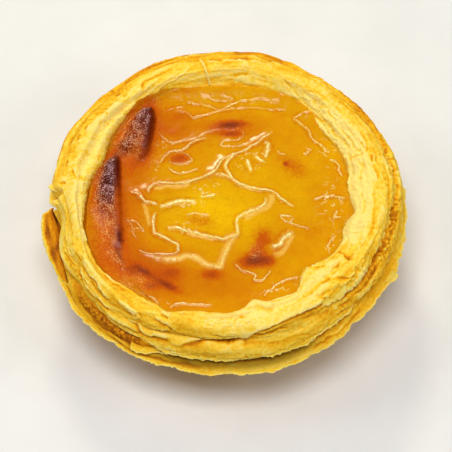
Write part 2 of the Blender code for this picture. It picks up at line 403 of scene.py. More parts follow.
def rim_stations(theta):
    """The rim's rings as an array: station, segment, (radius, height)."""
    near = nearness(theta)
    outline = rim_radius(theta)
    crevice = 0.35 + 0.65 * np.maximum(arc(theta, 238, 280, 20), 0.7 * arc(theta, 325, 368, 24))
    gap = 0.45 + 0.55 * arc(theta, 205, 372, 25)
    narrow = arc(theta, 203, 243, 24)
    pocket = arc(theta, 208, 245, 10)
    plain = arc(theta, 171, 201, 12)
    flaky = arc(theta, 303, 345, 16)
    rows = []
    for number, (near_in, near_z, far_in, far_z) in enumerate(RIM_STATIONS):
        inside = near_in * near + far_in * (1 - near)
        height = near_z * near + far_z * (1 - near)
        if number == CREVICE_STATION:
            inside = inside + 0.9 * (crevice - 0.8)
        if number == GAP_STATION:
            inside = inside + 1.2 * (gap - 0.85)
        wander = 0.55 * ring_noise(theta, 0.25 * number, 11.0, 1.0, seed=5, octaves=2)
        lift = 0.45 * ring_noise(theta, 0.25 * number, 13.0, 1.0, seed=9, octaves=2)
        if number < 10:
            wander = wander - BITE[1] * bump(theta, BITE[0], BITE[2])
        for shape, where in ((POCKET, pocket), (FLAKY_SIDE, flaky), (PLAIN_ROLL, plain)):
            inward, up = shape.get(number, (0, 0))
            inside = inside + inward * where
            height = height + up * where
        wander = wander - DENT_SHARES.get(number, 0) * ROLL_DENT[1] * bump(theta, ROLL_DENT[0], ROLL_DENT[2])
        if number >= 10:
            wander = wander + (0.3, 0.7, 1.3)[number - 10] * narrow
            lift = lift - 0.5 * narrow
        if number in (7, 8, 9):
            lift = lift + 0.5 * bump(theta, 103, 9)
        rows.append(np.stack([outline - inside + wander, height + lift], -1))
    wall = cavity_edge(theta)
    crest = rows[-1][:, 0]
    leaning = np.maximum(near, arc(theta, 128, 200, 20))
    for number, (near_share, near_z, far_share, far_z) in enumerate(LIP_STATIONS):
        share = near_share * leaning + far_share * (1 - leaning)
        height = near_z * leaning + far_z * (1 - leaning) - 0.7 * narrow
        if number == 0:
            height = height + 0.5 * plain
        height = height + 0.5 * ring_noise(theta, 0.3 * number, 6.0, 1.0, seed=13, octaves=2)
        rows.append(np.stack([wall + (crest - wall) * share, height], -1))
    rows.append(np.stack([wall - 0.1, np.full_like(theta, CUSTARD_LEVEL)], -1))
    rows.append(np.stack([wall - 0.8, np.full_like(theta, CUSTARD_LEVEL - 3)], -1))
    return np.array(rows)


# Edges of pastry sheets on the rim, as lines of (azimuth, station): the sheet on the line's left stands over
# the slit on its right. After the points: step, slit depth and slit half width in mm, and how dark the slit
# and the shade painted under the edge are.
SHEET_EDGES = (
    # long crack under the main roll, near side
    (((249.5, 7.4), (254, 7.7), (258, 8.2), (261.5, 8.8), (265, 9.1), (270, 9.4), (275, 9.4), (278.5, 10.1),
      (282, 10.6), (290, 11.0), (295, 11.1), (299, 10.9), (304, 10.8), (308, 10.8), (311, 10.4)),
      0.45, 0.30, 0.30, 0.40),
    (((273, 12.9), (276, 13.1), (279, 13.1)), 0.12, 0.20, 0.24, 0.24),
    (((279, 14.2), (282, 13.8), (286, 13.6), (291, 13.4)), 0.30, 0.20, 0.35, 0.18),
    # flap on the near side's right
    (((306, 12.1), (310, 10.8), (313.5, 9.7), (316, 9.1), (319, 9.0), (323, 9.2), (326, 9.3), (331, 9.0)),
      0.32, 0.24, 0.28, 0.25),
    (((311.5, 12.8), (316, 12.6), (319.5, 11.8), (322, 11.2), (325, 10.9)), 0.28, 0.21, 0.35, 0.21),
    (((320.5, 13.4), (323, 13.3), (325.5, 13.3)), 0.14, 0.28, 0.24, 0.28),
    (((316.5, 14.6), (318.5, 14.4), (320, 14.2)), 0.14, 0.21, 0.26, 0.21),
    (((328, 12.4), (329, 13.6), (330.5, 15.0)), 0.24, 0.21, 0.40, 0.18),
    # torn lower edge of the second roll
    (((244, 6.0), (249, 5.6), (255, 6.0), (264, 6.0), (266, 5.5), (271, 5.3), (279, 5.6), (290, 5.7),
      (305, 6.0), (310, 6.2), (318, 6.8)), 0.30, 0.40, 0.30, 0.30),
    # brown pocket on the near side's left
    (((239.5, 4.6), (236, 4.2), (231, 4.1), (227, 3.8), (223, 3.8), (218, 4.1), (215.5, 4.6)),
      0.25, 0.35, 0.30, 0.25),
    # petals round the knot on the left
    (((199, 7.2), (201.5, 7.0), (203, 7.0)), 0.19, 0.21, 0.24, 0.20),
    (((199, 7.9), (201.5, 8.2), (204, 8.5), (207, 8.7)), 0.22, 0.19, 0.24, 0.13),
    (((199.5, 8.9), (201.5, 8.7), (203.5, 9.0), (206, 9.3)), 0.22, 0.19, 0.24, 0.13),
    (((201, 9.4), (203, 9.6), (205, 9.8)), 0.19, 0.17, 0.24, 0.12),
    (((203.5, 11.2), (204.5, 10.8), (206.5, 10.7), (208, 10.0)), 0.22, 0.19, 0.24, 0.13),
    (((205.5, 12.0), (206, 11.5), (207, 11.2), (208.5, 10.6)), 0.19, 0.17, 0.24, 0.12),
    (((196.5, 12.6), (199, 12.9), (201.5, 12.7)), 0.16, 0.14, 0.26, 0.11),
    # folds that run from it to the near side
    (((207.5, 11.6), (209.5, 11.1), (213, 10.8), (216.5, 10.9), (218.5, 11.0), (221, 10.7), (224, 10.5),
      (227, 10.6)), 0.56, 0.45, 0.26, 0.36),
    (((207, 10.8), (209.5, 10.4), (213.5, 10.0), (217, 10.2), (221, 10.1), (225, 9.9), (229, 9.8)),
      0.35, 0.19, 0.32, 0.15),
    (((208, 9.0), (211, 8.4), (215, 8.0), (218.5, 8.1), (222, 8.6), (226, 9.0), (229, 9.2)),
      0.40, 0.19, 0.34, 0.17),
    (((214, 9.4), (216, 9.2)), 0.20, 0.25, 0.26, 0.29),
    (((232.5, 11.1), (234.5, 11.0), (236, 10.7)), 0.25, 0.25, 0.22, 0.27),
    (((232, 9.6), (235, 9.0), (237.5, 8.7), (239.5, 7.9), (242.5, 7.5), (245, 7.8), (248, 8.0), (252, 8.2)),
      0.50, 0.32, 0.32, 0.26),
    (((238.5, 9.4), (242.5, 9.2), (247, 9.7), (250.5, 10.0)), 0.40, 0.19, 0.32, 0.19),
    (((242.5, 11.3), (246, 10.9), (249.5, 10.6), (251.5, 10.1)), 0.40, 0.19, 0.32, 0.17),
    (((244.5, 12.1), (246.5, 11.8), (248.5, 11.6)), 0.40, 0.32, 0.26, 0.29),
    (((239, 10.8), (236, 11.6), (232, 11.9), (229, 11.6)), 0.40, 0.15, 0.40, 0.13),
    (((226, 7.6), (231, 7.5), (236, 7.6), (240, 7.4)), 0.35, 0.19, 0.34, 0.17),
    # outermost leaf
    (((203, 3.4), (207, 3.4), (211, 3.5), (216, 3.5)), 0.15, 0.40, 0.24, 0.60),
    (((230, 3.5), (236, 3.5), (242, 3.5), (248, 3.5), (256, 3.6), (263, 3.7)), 0.20, 0.40, 0.28, 0.50),
    (((298, 3.5), (306, 3.6), (314, 3.5), (322, 3.5)), 0.15, 0.25, 0.22, 0.25),
    # right side
    (((338, 8.9), (342, 8.8), (346, 8.7), (350.5, 8.7), (355, 8.8), (359, 8.7)), 0.19, 0.36, 0.28, 0.27),
    (((339, 5.9), (345, 5.6), (351, 5.3), (358, 5.2), (363, 5.3)), 0.14, 0.30, 0.32, 0.24),
    (((330, 12.2), (336.5, 12.4), (341, 12.1), (346, 12.1), (352, 12.2), (358.5, 12.6), (365.5, 12.7)),
      0.19, 0.19, 0.40, 0.18),
    (((349, 14.0), (353, 14.1), (358, 14.0), (365.5, 14.0)), 0.08, 0.17, 0.26, 0.15),
    (((340, 13.8), (342, 13.6)), 0.11, 0.21, 0.24, 0.24),
    (((7, 14.0), (12, 13.8), (16.5, 13.0)), 0.14, 0.27, 0.30, 0.22),
    (((5.5, 11.9), (9, 12.1), (12, 12.4)), 0.17, 0.33, 0.32, 0.27),
    (((5.5, 11.0), (8.5, 11.3)), 0.14, 0.18, 0.28, 0.16),
    (((17.5, 12.6), (20, 12.1), (24, 11.7), (28, 11.6)), 0.17, 0.18, 0.32, 0.16),
    (((23, 12.1), (21.5, 12.3), (20, 12.3)), 0.15, 0.30, 0.25, 0.30),
    (((16.5, 13.4), (15, 13.5), (13.5, 13.6)), 0.12, 0.30, 0.22, 0.35),
    (((16.5, 11.6), (15, 11.8), (13, 12.0)), 0.15, 0.35, 0.30, 0.30),
    (((15.5, 11.1), (14.5, 11.2), (13, 11.4)), 0.12, 0.30, 0.24, 0.25),
    (((18.5, 12.2), (18.3, 13.4), (19.0, 14.6), (18.6, 15.8)), 0.32, 0.25, 0.30, 0.16),
    (((34.5, 13.4), (30, 13.5), (26.5, 13.6), (23, 13.5), (18.5, 13.0)), 0.19, 0.27, 0.28, 0.24),
    (((43.5, 12.8), (40.5, 13.2), (36.5, 13.4)), 0.17, 0.27, 0.26, 0.24),
    (((51, 12.2), (54, 12.2)), 0.11, 0.21, 0.26, 0.18),
    (((57.5, 14.0), (61, 13.5)), 0.14, 0.21, 0.26, 0.18),
    (((62.5, 13.1), (66, 12.9)), 0.14, 0.21, 0.24, 0.18),
    # far side
    (((80, 13.3), (83.5, 13.4), (87, 13.9)), 0.23, 0.24, 0.30, 0.24),
    (((80, 11.3), (84, 11.0), (89, 11.0)), 0.27, 0.28, 0.45, 0.26),
    (((69, 9.6), (76, 10.0), (83, 10.2)), 0.27, 0.28, 0.40, 0.22),
    (((91, 11.2), (97, 11.0)), 0.27, 0.28, 0.40, 0.22),
    (((125, 14.6), (118, 14.1), (112, 13.0), (106.5, 12.0), (101, 11.0)), 0.20, 0.06, 0.40, 0.05),
    (((129, 14.4), (123, 13.6), (117, 12.9), (111, 12.0), (108, 11.3)), 0.18, 0.05, 0.40, 0.05),
    (((133, 13.6), (127, 12.9), (121, 12.2), (116, 11.8)), 0.15, 0.05, 0.40, 0.05),
    (((127, 12.6), (124, 11.4), (119, 11.2), (115, 11.0), (110, 10.8)), 0.18, 0.24, 0.40, 0.21),
    (((132.5, 10.6), (134.5, 10.4)), 0.18, 0.28, 0.24, 0.32),
    (((143, 12.1), (144, 12.1)), 0.09, 0.28, 0.30, 0.44),
    (((146, 9.9), (148.5, 10.0)), 0.18, 0.28, 0.24, 0.28),
    (((146.5, 12.4), (148.5, 12.2)), 0.18, 0.24, 0.28, 0.24),
    (((150.5, 11.1), (153, 11.2)), 0.18, 0.24, 0.24, 0.24),
    (((165.5, 10.7), (169, 10.6)), 0.18, 0.36, 0.24, 0.36),
    (((170, 11.5), (173, 12.0)), 0.18, 0.28, 0.26, 0.22),
    (((174.5, 9.4), (175.5, 10.2), (176, 11.0)), 0.15, 0.20, 0.24, 0.20),
)
# Thin strands lying over the rim: points (azimuth, station), height and half width in mm
STRANDS = (
    (((100, 10.3), (98.7, 11.4), (97.8, 13.1), (96.8, 15.0)), 0.45, 0.28),
    (((201, 14.4), (199.5, 14.2), (197.5, 13.9), (196, 13.2)), 0.35, 0.45),
    (((126.5, 14.9), (131, 14.0), (134, 13.2)), 0.35, 0.35),
)
# Crumbly places: azimuth, station, half width in degrees and half height in mm
CRUMBS = (
    (326, 10.6, 4.5, 1.0), (320, 9.9, 5.0, 0.6), (272, 12.3, 12.0, 1.1), (276, 6.6, 5.0, 0.4),
    (225, 4.8, 9.0, 0.6), (305, 6.6, 12.0, 0.5), (260, 6.6, 14.0, 0.4), (212, 8.0, 5.0, 0.8),
    (226, 12.6, 4.0, 0.4), (341, 8.6, 8.0, 1.6), (356, 8.4, 7.0, 1.4), (12, 8.6, 9.0, 1.2),
)

# Lumps and hollows: azimuth, station, half width in degrees, half height in mm, rise in mm and change of tone
PATCHES = (
    (225, 11.9, 12.0, 0.9, 0.45, 0.06), (222, 9.2, 9.0, 0.8, 0.40, 0.04), (234, 7.9, 9.0, 0.8, 0.40, 0.04),
    (248, 9.0, 7.0, 0.8, 0.35, 0.04), (233, 11.6, 5.0, 0.9, 0.30, 0.08), (283, 13.6, 6.0, 1.6, 0.25, 0.04),
    (318, 13.4, 9.0, 1.5, 0.30, 0.02), (344, 14.3, 5.0, 1.4, 0.35, 0.10), (213, 9.4, 5.0, 0.7, 0.30, 0.12),
    (215, 11.6, 7.0, 0.5, 0.35, 0.14), (222, 9.6, 5.0, 0.6, 0.25, 0.10), (100, 13.4, 13.0, 0.9, 0.10, 0.10),
    (88, 13.3, 5.0, 0.8, 0.20, 0.08), (268, 12.0, 9.0, 1.0, 0.10, 0.10), (326, 10.4, 5.0, 0.8, 0.15, 0.12),
    (145, 13.6, 14.0, 2.0, 0.15, 0.10), (186, 13.0, 9.0, 1.8, 0.15, 0.12),
    (205, 12.2, 3.0, 0.7, 0.25, 0.08), (246, 12.9, 3.5, 0.6, 0.30, 0.06), (352, 11.2, 6.0, 0.9, 0.25, 0.06),
    (8, 13.0, 9.0, 1.2, 0.20, 0.10), (30, 14.6, 8.0, 1.0, 0.20, 0.10), (56, 13.6, 8.0, 1.0, 0.15, 0.08),
    (274, 7.6, 9.0, 0.9, 0.25, 0.04), (300, 8.4, 8.0, 1.1, 0.25, 0.04), (240, 7.0, 7.0, 0.8, 0.25, 0.06),
    (253, 11.7, 3.6, 0.6, -0.10, -0.06), (311, 11.7, 3.5, 0.6, -0.15, -0.08),
    (240, 9.9, 5.0, 0.5, -0.12, -0.08), (206, 9.8, 2.0, 0.5, -0.12, -0.10),
    (322, 11.6, 3.0, 0.5, -0.20, -0.14), (329, 12.9, 2.5, 0.8, -0.20, -0.14),
    (343, 12.2, 8.0, 0.6, -0.15, -0.10), (192, 10.4, 8.0, 1.0, 0.0, -0.10),
    (120, 9.5, 9.0, 1.0, -0.20, -0.14), (66, 14.6, 5.0, 0.6, -0.10, -0.12),
    (50, 15.0, 4.0, 0.6, -0.10, -0.18), (228, 4.4, 1.6, 0.45, 0.40, 0.34),
    (270.5, 5.4, 1.4, 0.4, 0.40, 0.30), (276, 6.7, 1.0, 0.35, 0.15, -0.40),
    (226, 12.0, 3.0, 0.5, 0.0, -0.10),
)

# How much the sheets stand out: azimuth, share outside the crest, share inside it
LIVELY = (
    (0, 0.5, 0.5), (40, 0.5, 0.6), (75, 0.8, 0.4), (105, 0.6, 0.3), (125, 0.5, 0.15), (165, 0.45, 0.12),
    (181, 0.12, 0.08), (194, 0.12, 0.08), (200, 0.7, 0.5), (230, 0.7, 0.6), (258, 0.7, 0.6),
    (266, 0.6, 0.3), (295, 0.5, 0.3), (306, 0.9, 0.6), (335, 0.9, 0.6), (360, 0.5, 0.5),
)
# Stretches of the rim that are lighter or darker: change of tone, stations it comes in over (downwards if the
# first is higher), first and last azimuth and how many degrees it fades over
EVERYWHERE = (-2.0, -1.0)
TONE_BANDS = (
    (0.06, 6.5, 8.0, 196, 214, 8), (0.12, 6.5, 8.0, 176, 203, 10), (0.07, 10.4, 11.6, 128, 178, 12),
    (0.10, 11.0, 11.8, 256, 292, 12), (-0.10, 13.4, 14.2, 256, 292, 12), (0.06, 11.0, 12.0, 282, 312, 12),
    (0.15, 12.4, 13.6, 335, 388, 12), (0.12, 11.0, 12.5, 335, 425, 16), (-0.05, 10.5, 9.5, 330, 510, 20),
    (-0.24, 4.6, 3.6, 214, 262, 16), (-0.04, 5.4, 4.6, 298, 345, 14), (-0.08, *EVERYWHERE, 303, 335, 8),
    (-0.05, *EVERYWHERE, 198, 242, 10),
)
# How fibrous the pastry is, by azimuth
FIBROUS = (
    (0, 0.35), (45, 0.45), (80, 0.5), (105, 0.35), (125, 0.12), (170, 0.12), (185, 0.3), (200, 0.4),
    (240, 0.4), (262, 0.2), (300, 0.2), (325, 0.4), (360, 0.35),
)


# How far a sheet's edge can change the surface round it, mm and degrees
EDGE_REACH = 3.5
EDGE_REACH_DEGREES = 5


class Sheets:
    """Relief and tone of layered pastry over a grid, whose rows are across mm along its section."""

    def __init__(self, theta, across, radius, seed):
        self.theta = theta
        self.across = across
        self.scale = radius * math.pi / 180
        shape = (len(across), len(theta))
        self.rise = np.zeros(shape)
        self.tone = np.zeros(shape)
        angle, place = np.broadcast_arrays(theta[None, :], across[:, None])
        self.shift_along = 0.5 * ring_noise(angle, place, 2.6, 1.8, seed, 2)
        self.shift_across = 0.42 * ring_noise(angle, place, 3.4, 2.6, seed + 3, 2)
        self.shift_across += 0.16 * ring_noise(angle, place, 0.8, 0.6, seed + 7)

    def edge(self, points, step, slit, width, dark):
        """A sheet's edge along a line of points, worked out only in the window that it can reach."""
        path = [(azimuth * self.scale, place) for azimuth, place in points]
        first = min(azimuth for azimuth, _ in points) - EDGE_REACH_DEGREES
        last = max(azimuth for azimuth, _ in points) + EDGE_REACH_DEGREES
        turn = (np.degrees(self.theta) - first) % 360
        columns = np.nonzero(turn < last - first)[0]
        low = min(place for _, place in points) - EDGE_REACH
        high = max(place for _, place in points) + EDGE_REACH
        rows = np.nonzero((self.across > low) & (self.across < high))[0]
        if len(rows) == 0 or len(columns) == 0:
            return
        window = np.ix_(rows, columns)
        x = (turn[columns] + first)[None, :] * self.scale + self.shift_along[window]
        y = self.across[rows][:, None] + self.shift_across[window]
        off, along = path_distance(x, y, path)
        ends = smooth(0, 0.16, along) * (1 - smooth(0.84, 1, along))
        raised = np.where(off > 0, smooth(-0.05, 0.25, off) * np.exp(-(np.abs(off) / 1.6) ** 1.5), 0)
        lip = np.exp(-((off - 0.24) / 0.16) ** 2)
        sunk = np.exp(-((off + 0.4 * width) / width) ** 2)
        # painted shade: darker on the lower sheet under the edge, fading over about 0.9 mm, with a thin line
        # at the edge
        painted_shade = np.where(off < 0, np.exp(-np.abs(off) / 0.9), np.exp(-((off / 0.2) ** 2)))
        self.rise[window] += ends * (step * raised - slit * sunk)
        darker = dark * (0.62 * sunk + 0.5 * painted_shade)
        self.tone[window] += ends * (0.10 * raised + 0.45 * step * lip - darker)

    def strand(self, points, crest, half_width):
        """A thin strand that lies over the surface along a line of points."""
        path = [(azimuth * self.scale, place) for azimuth, place in points]
        x = (np.degrees(self.theta) % 360)[None, :] * self.scale + 0 * self.across[:, None]
        off, along = path_distance(x, self.across[:, None] + 0 * x, path)
        ends = smooth(0, 0.1, along) * (1 - smooth(0.9, 1, along))
        ridge = np.exp(-(off / half_width) ** 2) * ends
        edge = np.exp(-((np.abs(off) - 1.7 * half_width) / (0.6 * half_width)) ** 2) * ends
        self.rise += crest * ridge
        self.tone += 0.30 * ridge - 0.12 * edge


def minor_edges(count, low, high, seed, strength):
    """Random short sheet edges between two places across the ring: points, step, slit, width and darkness."""
    random = np.random.default_rng(seed)
    edges = []
    for _ in range(count):
        azimuth = random.uniform(0, 360)
        place = random.uniform(low, high)
        length = random.uniform(5.0, 26.0)
        drift = random.normal(0, 0.03) * length
        bend = random.normal(0, 0.25)
        points = [(azimuth + length * k / 3, place + drift * k / 3 + bend * (k in (1, 2))) for k in range(4)]
        if random.random() < 0.35:
            points = points[::-1]
        power = random.uniform(0.35, 1.0) * strength(azimuth, place)
        edges.append((points, 0.38 * power, 0.32 * power, random.uniform(0.22, 0.50), 0.15 * power))
    return edges


def folds(angle, across, along_size, across_size, seed, warp):
    """Rounded folds between narrow creases that wander round the tart: 0 in a crease, 1 on a fold."""
    bent = across + warp * ring_noise(angle, across, 1.3 * along_size, 2.4 * across_size, seed + 1, 2)
    return smooth(0, 0.32, np.abs(ring_noise(angle, bent, along_size, across_size, seed)))


def blurred(values, rows, columns):
    """Values of a grid averaged over a window; the grid closes on itself along its second axis."""
    total = np.zeros(values.shape)
    for shift in range(-columns, columns + 1):
        total += np.roll(values, shift, axis=1)
    total /= 2 * columns + 1
    padded = np.pad(total, ((rows, rows), (0, 0)), mode="edge")
    return sum(padded[k:k + len(values)] for k in range(2 * rows + 1)) / (2 * rows + 1)


def build_rim(material):
    theta = np.linspace(0, 2 * math.pi, RIM_SEGMENTS, endpoint=False)
    stations = rim_stations(theta)
    position, across_rows = even_positions(stations, RIM_ROWS, 2.5, 16.3, 0.4)
    section = catmull_rom(stations, position)
    grid = polar_points(theta, section[..., 0], section[..., 1])
    angle = np.broadcast_to(theta, grid.shape[:2])
    across = np.broadcast_to(across_rows[:, None], grid.shape[:2])
    station = np.broadcast_to(position[:, None], grid.shape[:2])

    def place_of(number):
        return float(np.interp(number, position, across_rows))

    def spot_at(azimuth, number, half_width, half_height):
        return bump(angle, azimuth, half_width) * np.exp(-((across - place_of(number)) / half_height) ** 2)

    def strength(azimuth, place):
        return by_azimuth(math.radians(azimuth), LIVELY, 2 if place > place_of(SHOULDER) else 1)

    sheets = Sheets(theta, across_rows, RIM_SCALE_RADIUS, 21)
    for points, *values in SHEET_EDGES:
        sheets.edge([(azimuth, place_of(number)) for azimuth, number in points], *values)
    for points, *values in minor_edges(120, place_of(3.6), place_of(15.2), 5, strength):
        sheets.edge(points, *values)

    for *place, lift, change in PATCHES:
        spot = spot_at(*place)
        sheets.rise += lift * spot
        sheets.tone += change * spot
    for points, crest, half_width in STRANDS:
        sheets.strand([(azimuth, place_of(number)) for azimuth, number in points], crest, half_width)
    crumbly = np.zeros(station.shape)
    for place in CRUMBS:
        crumbly = np.maximum(crumbly, spot_at(*place))

    inside = smooth(SHOULDER - 0.5, SHOULDER + 0.5, station)
    lively = by_azimuth(angle, LIVELY, 1) * (1 - inside) + by_azimuth(angle, LIVELY, 2) * inside
    lumps = ring_noise(angle, across, 5.0, 3.2, 41, 2)
    blisters = ring_noise(angle, across, 1.3, 0.9, 47, 2)
    top = smooth(3.2, 4.6, station)
    under = 1 - smooth(2.2, 3.2, station)
    covered = smooth(-0.25, 0.15, station - custard_edge_station(angle))
    fibres = ring_noise(angle, across + 0.5 * lumps, 7.0, 0.55, 53, 2)
    fibrous = by_azimuth(angle, FIBROUS)
    broad_folds = folds(angle, across, 12.0, 1.7, 55, 1.1)
    fine_folds = folds(angle, across, 6.0, 0.9, 57, 0.7)
    rise = sheets.rise + (0.28 * lumps + 0.05 * blisters) * (0.4 + 0.6 * lively) + 0.06 * fibres * fibrous
    crumbs = ring_noise(angle, across, 0.8, 0.6, 59, 2)
    rise = rise + lively * (0.32 * broad_folds + 0.16 * fine_folds - 0.38) + 0.45 * crumbs * crumbly
    grainy = 0.12 + 0.20 * arc(angle, 300, 425, 30) + 0.06 * arc(angle, 215, 300, 20)
    rise = rise + 0.45 * crumbs * grainy * smooth(3.4, 4.2, station)
    strokes = 1 - np.abs(ring_noise(angle, across, 1.5, 0.9, 65)) * 1.6
    strokes = smooth(0.80, 0.95, strokes) * smooth(0.08, 0.30, ring_noise(angle, across, 2.4, 1.8, 66))
    strokes = strokes * (0.3 + 0.7 * arc(angle, 118, 204, 16)) * smooth(6.2, 7.5, station)
    rise = rise - 0.10 * strokes
    fluff = ring_noise(angle + 0.015 * across, across, 0.6, 2.4, 69, 2)
    fluff = fluff * arc(angle, 130, 203, 16) * smooth(9.0, 10.5, station)
    rise = rise + 0.09 * fluff
    pocket = smooth(3.9, 4.4, station) * (1 - smooth(5.6, 6.0, station)) * arc(angle, 213, 241, 6)
    cells = 1 - np.abs(ring_noise(angle, across, 0.7, 0.6, 63, 1)) * 2.2
    rise = rise * (1 - 0.75 * pocket) - 0.12 * cells * pocket
    rise = rise * (0.2 + 0.8 * top)
    # The relief above its surroundings; the tone paints shade from it, darker in hollows and paler on raised
    # folds
    proud = rise - blurred(rise, 6, 10)
    rise = rise * (1 - covered) - 0.3 * covered
    grid = grid + surface_normals(grid) * rise[..., None]

    dry = np.clip(custard_edge_station(angle) - station, 0, None)
    wet = np.exp(-dry / by_azimuth(angle, WET_EDGE, 2)) * by_azimuth(angle, WET_EDGE)
    gap = smooth(3.85, 4.4, station) * (1 - smooth(5.7, 6.1, station)) * by_azimuth(angle, GAP_DARKNESS)
    streak = np.exp(-((station - 8.1) / 0.5) ** 2) * arc(angle, 316, 337, 6) * 0.5
    pale_inside = smooth(10.4, 12.6, station) * (0.55 + 0.45 * smooth(0.2, 0.9, arc(angle, 262, 560, 30)))
    orange_outside = np.exp(-((station - 8.0) / 1.9) ** 2) * by_azimuth(angle, OUTER_ORANGE)
    tone = (
        0.66
        + 0.14 * pale_inside
        + 0.10 * ring_noise(angle, across, 9.0, 3.0, 61, 2)
        # painted shade and light: hollows of the relief darker, raised folds paler
        + 0.50 * proud
        + 0.06 * lumps * lively
        + 0.05 * ring_noise(angle, across, 3.0, 0.9, 67, 2)
        + 0.08 * fibres * fibrous
        + sheets.tone * (1 - 0.8 * pocket)
        - (0.05 + 0.10 * cells) * pocket
        + crumbs * (0.22 * crumbly + 0.30 * grainy)
        - 0.24 * strokes
        + 0.16 * fluff
        - 0.24 * wet
        + 0.22 * fibres * smooth(11.6, 13.0, station) * arc(angle, 52, 126, 14)
        - orange_outside
    )
    for change, low, high, start, end, soft in TONE_BANDS:
        tone = tone + change * smooth(low, high, station) * arc(angle, start, end, soft)
    tone = np.maximum(tone, 0.30 + 0.25 * (tone - 0.30))
    tone = tone - gap - 0.26 * streak - 0.25 * under + 0.40 * np.exp(-((station - 2.9) / 0.40) ** 2)
    # painted shade: the leaf and gap darkened where they run in under the second roll
    painted_shade = 0.60 * smooth(3.2, 3.9, station) * (1 - smooth(4.6, 5.6, station)) * arc(angle, 246, 300, 16)
    painted_shade = painted_shade + 0.16 * (1 - smooth(3.9, 4.7, station)) * arc(angle, 205, 300, 20)
    fields = {"tone": tone, "layer": across, "fibrous": fibrous, "painted_shade": painted_shade}
    half = RIM_SEGMENTS // 2
    pieces = []
    for name, first in (("crust_rim_far", 0), ("crust_rim_near", half)):
        columns = np.arange(first, first + half + 1) % RIM_SEGMENTS
        part = {key: values[:, columns] for key, values in fields.items()}
        quads = open_ring_quads(RIM_ROWS, half + 1)
        pieces.append(add_mesh(name, grid[:, columns].reshape(-1, 3), quads, material, part))
    return pieces


def build_shell(material):
    """The case's base, side and cavity, up to where the rim covers it."""
    theta = np.linspace(0, 2 * math.pi, SHELL_SEGMENTS, endpoint=False)
    near = nearness(theta)
    wall = cavity_edge(theta)
    side_top = SIDE_TOP_RADIUS + 0.6 * ring_noise(theta, 0.0, 15.0, 1.0, 71)
    side_top = side_top - BITE[1] * bump(theta, BITE[0], BITE[2])
    share = np.linspace(0, 1, 56)[1:]
    rows = [(np.full_like(theta, radius), np.zeros_like(theta)) for radius in (0.5, 8.0, 16.0, 22.0)]
    rows.append((np.full_like(theta, BASE_RADIUS - BASE_EDGE), np.zeros_like(theta)))
    rows.append((np.full_like(theta, BASE_RADIUS - 0.3 * BASE_EDGE), np.full_like(theta, 0.35 * BASE_EDGE)))
    side_rows = len(rows)
    for part in share:
        radius = BASE_RADIUS + (side_top - BASE_RADIUS) * part + SIDE_BULGE * math.sin(math.pi * part)
        rows.append((radius, np.full_like(theta, BASE_EDGE + (SIDE_TOP_HEIGHT - BASE_EDGE) * part)))
    side_end = len(rows)
    inner_top = 17.0 + 1.0 * (1 - near)
    rows.append((side_top - 2.0, inner_top))
    rows.append((wall + 1.5, inner_top))
    for part in (0.0, 0.35, 0.7, 1.0):
        radius = wall + (CAVITY_FLOOR_RADIUS - wall) * part
        rows.append((radius, inner_top - 1 + (CAVITY_FLOOR - inner_top + 1) * part))
    rows.append((np.full_like(theta, 10.0), np.full_like(theta, CAVITY_FLOOR)))
    rows.append((np.full_like(theta, 0.5), np.full_like(theta, CAVITY_FLOOR)))
    grid = np.array([polar_points(theta, radius, height) for radius, height in rows])
    angle = np.broadcast_to(theta, grid.shape[:2])
    height = grid[..., 2]
    on_side = np.zeros(grid.shape[:2])
    on_side[side_rows:side_end] = 1
    sheets = Sheets(theta, height[side_rows:side_end].mean(axis=1) * SIDE_STRETCH, SIDE_SCALE_RADIUS, 81)
    side_length = SIDE_TOP_HEIGHT * SIDE_STRETCH
    for points, *values in minor_edges(300, 1.0, side_length, 83, lambda azimuth, place: 1.0):
        sheets.edge(points, *values)
    lumps = ring_noise(angle, height, 5.0, 3.2, 97, 2)
    blisters = ring_noise(angle, height, 1.4, 1.0, 99, 2)
    rise = on_side * (0.28 * lumps + 0.08 * blisters)
    rise[side_rows:side_end] += sheets.rise
    rise = rise * smooth(0.8, 2.5, height)
    grid = grid + surface_normals(grid) * rise[..., None]
    tone = 0.50 + 0.10 * ring_noise(angle, height, 10.0, 4.0, 101, 2) + 0.12 * lumps
    tone = tone - 0.10 * (1 - smooth(0, 4, height))
    tone[side_rows:side_end] += sheets.tone
    plain = {"fibrous": np.full(tone.shape, 0.9), "painted_shade": np.zeros(tone.shape)}
    fields = {"tone": tone, "layer": height * 1.25, **plain}
    quads = ring_quads(len(rows), SHELL_SEGMENTS)
    return add_mesh("crust_shell", grid.reshape(-1, 3), quads, material, fields)


# ---------------------------------------------------------------------------------------------------------
# Leaves: thin torn sheets of pastry
# ---------------------------------------------------------------------------------------------------------

LEAF_ACROSS = 13


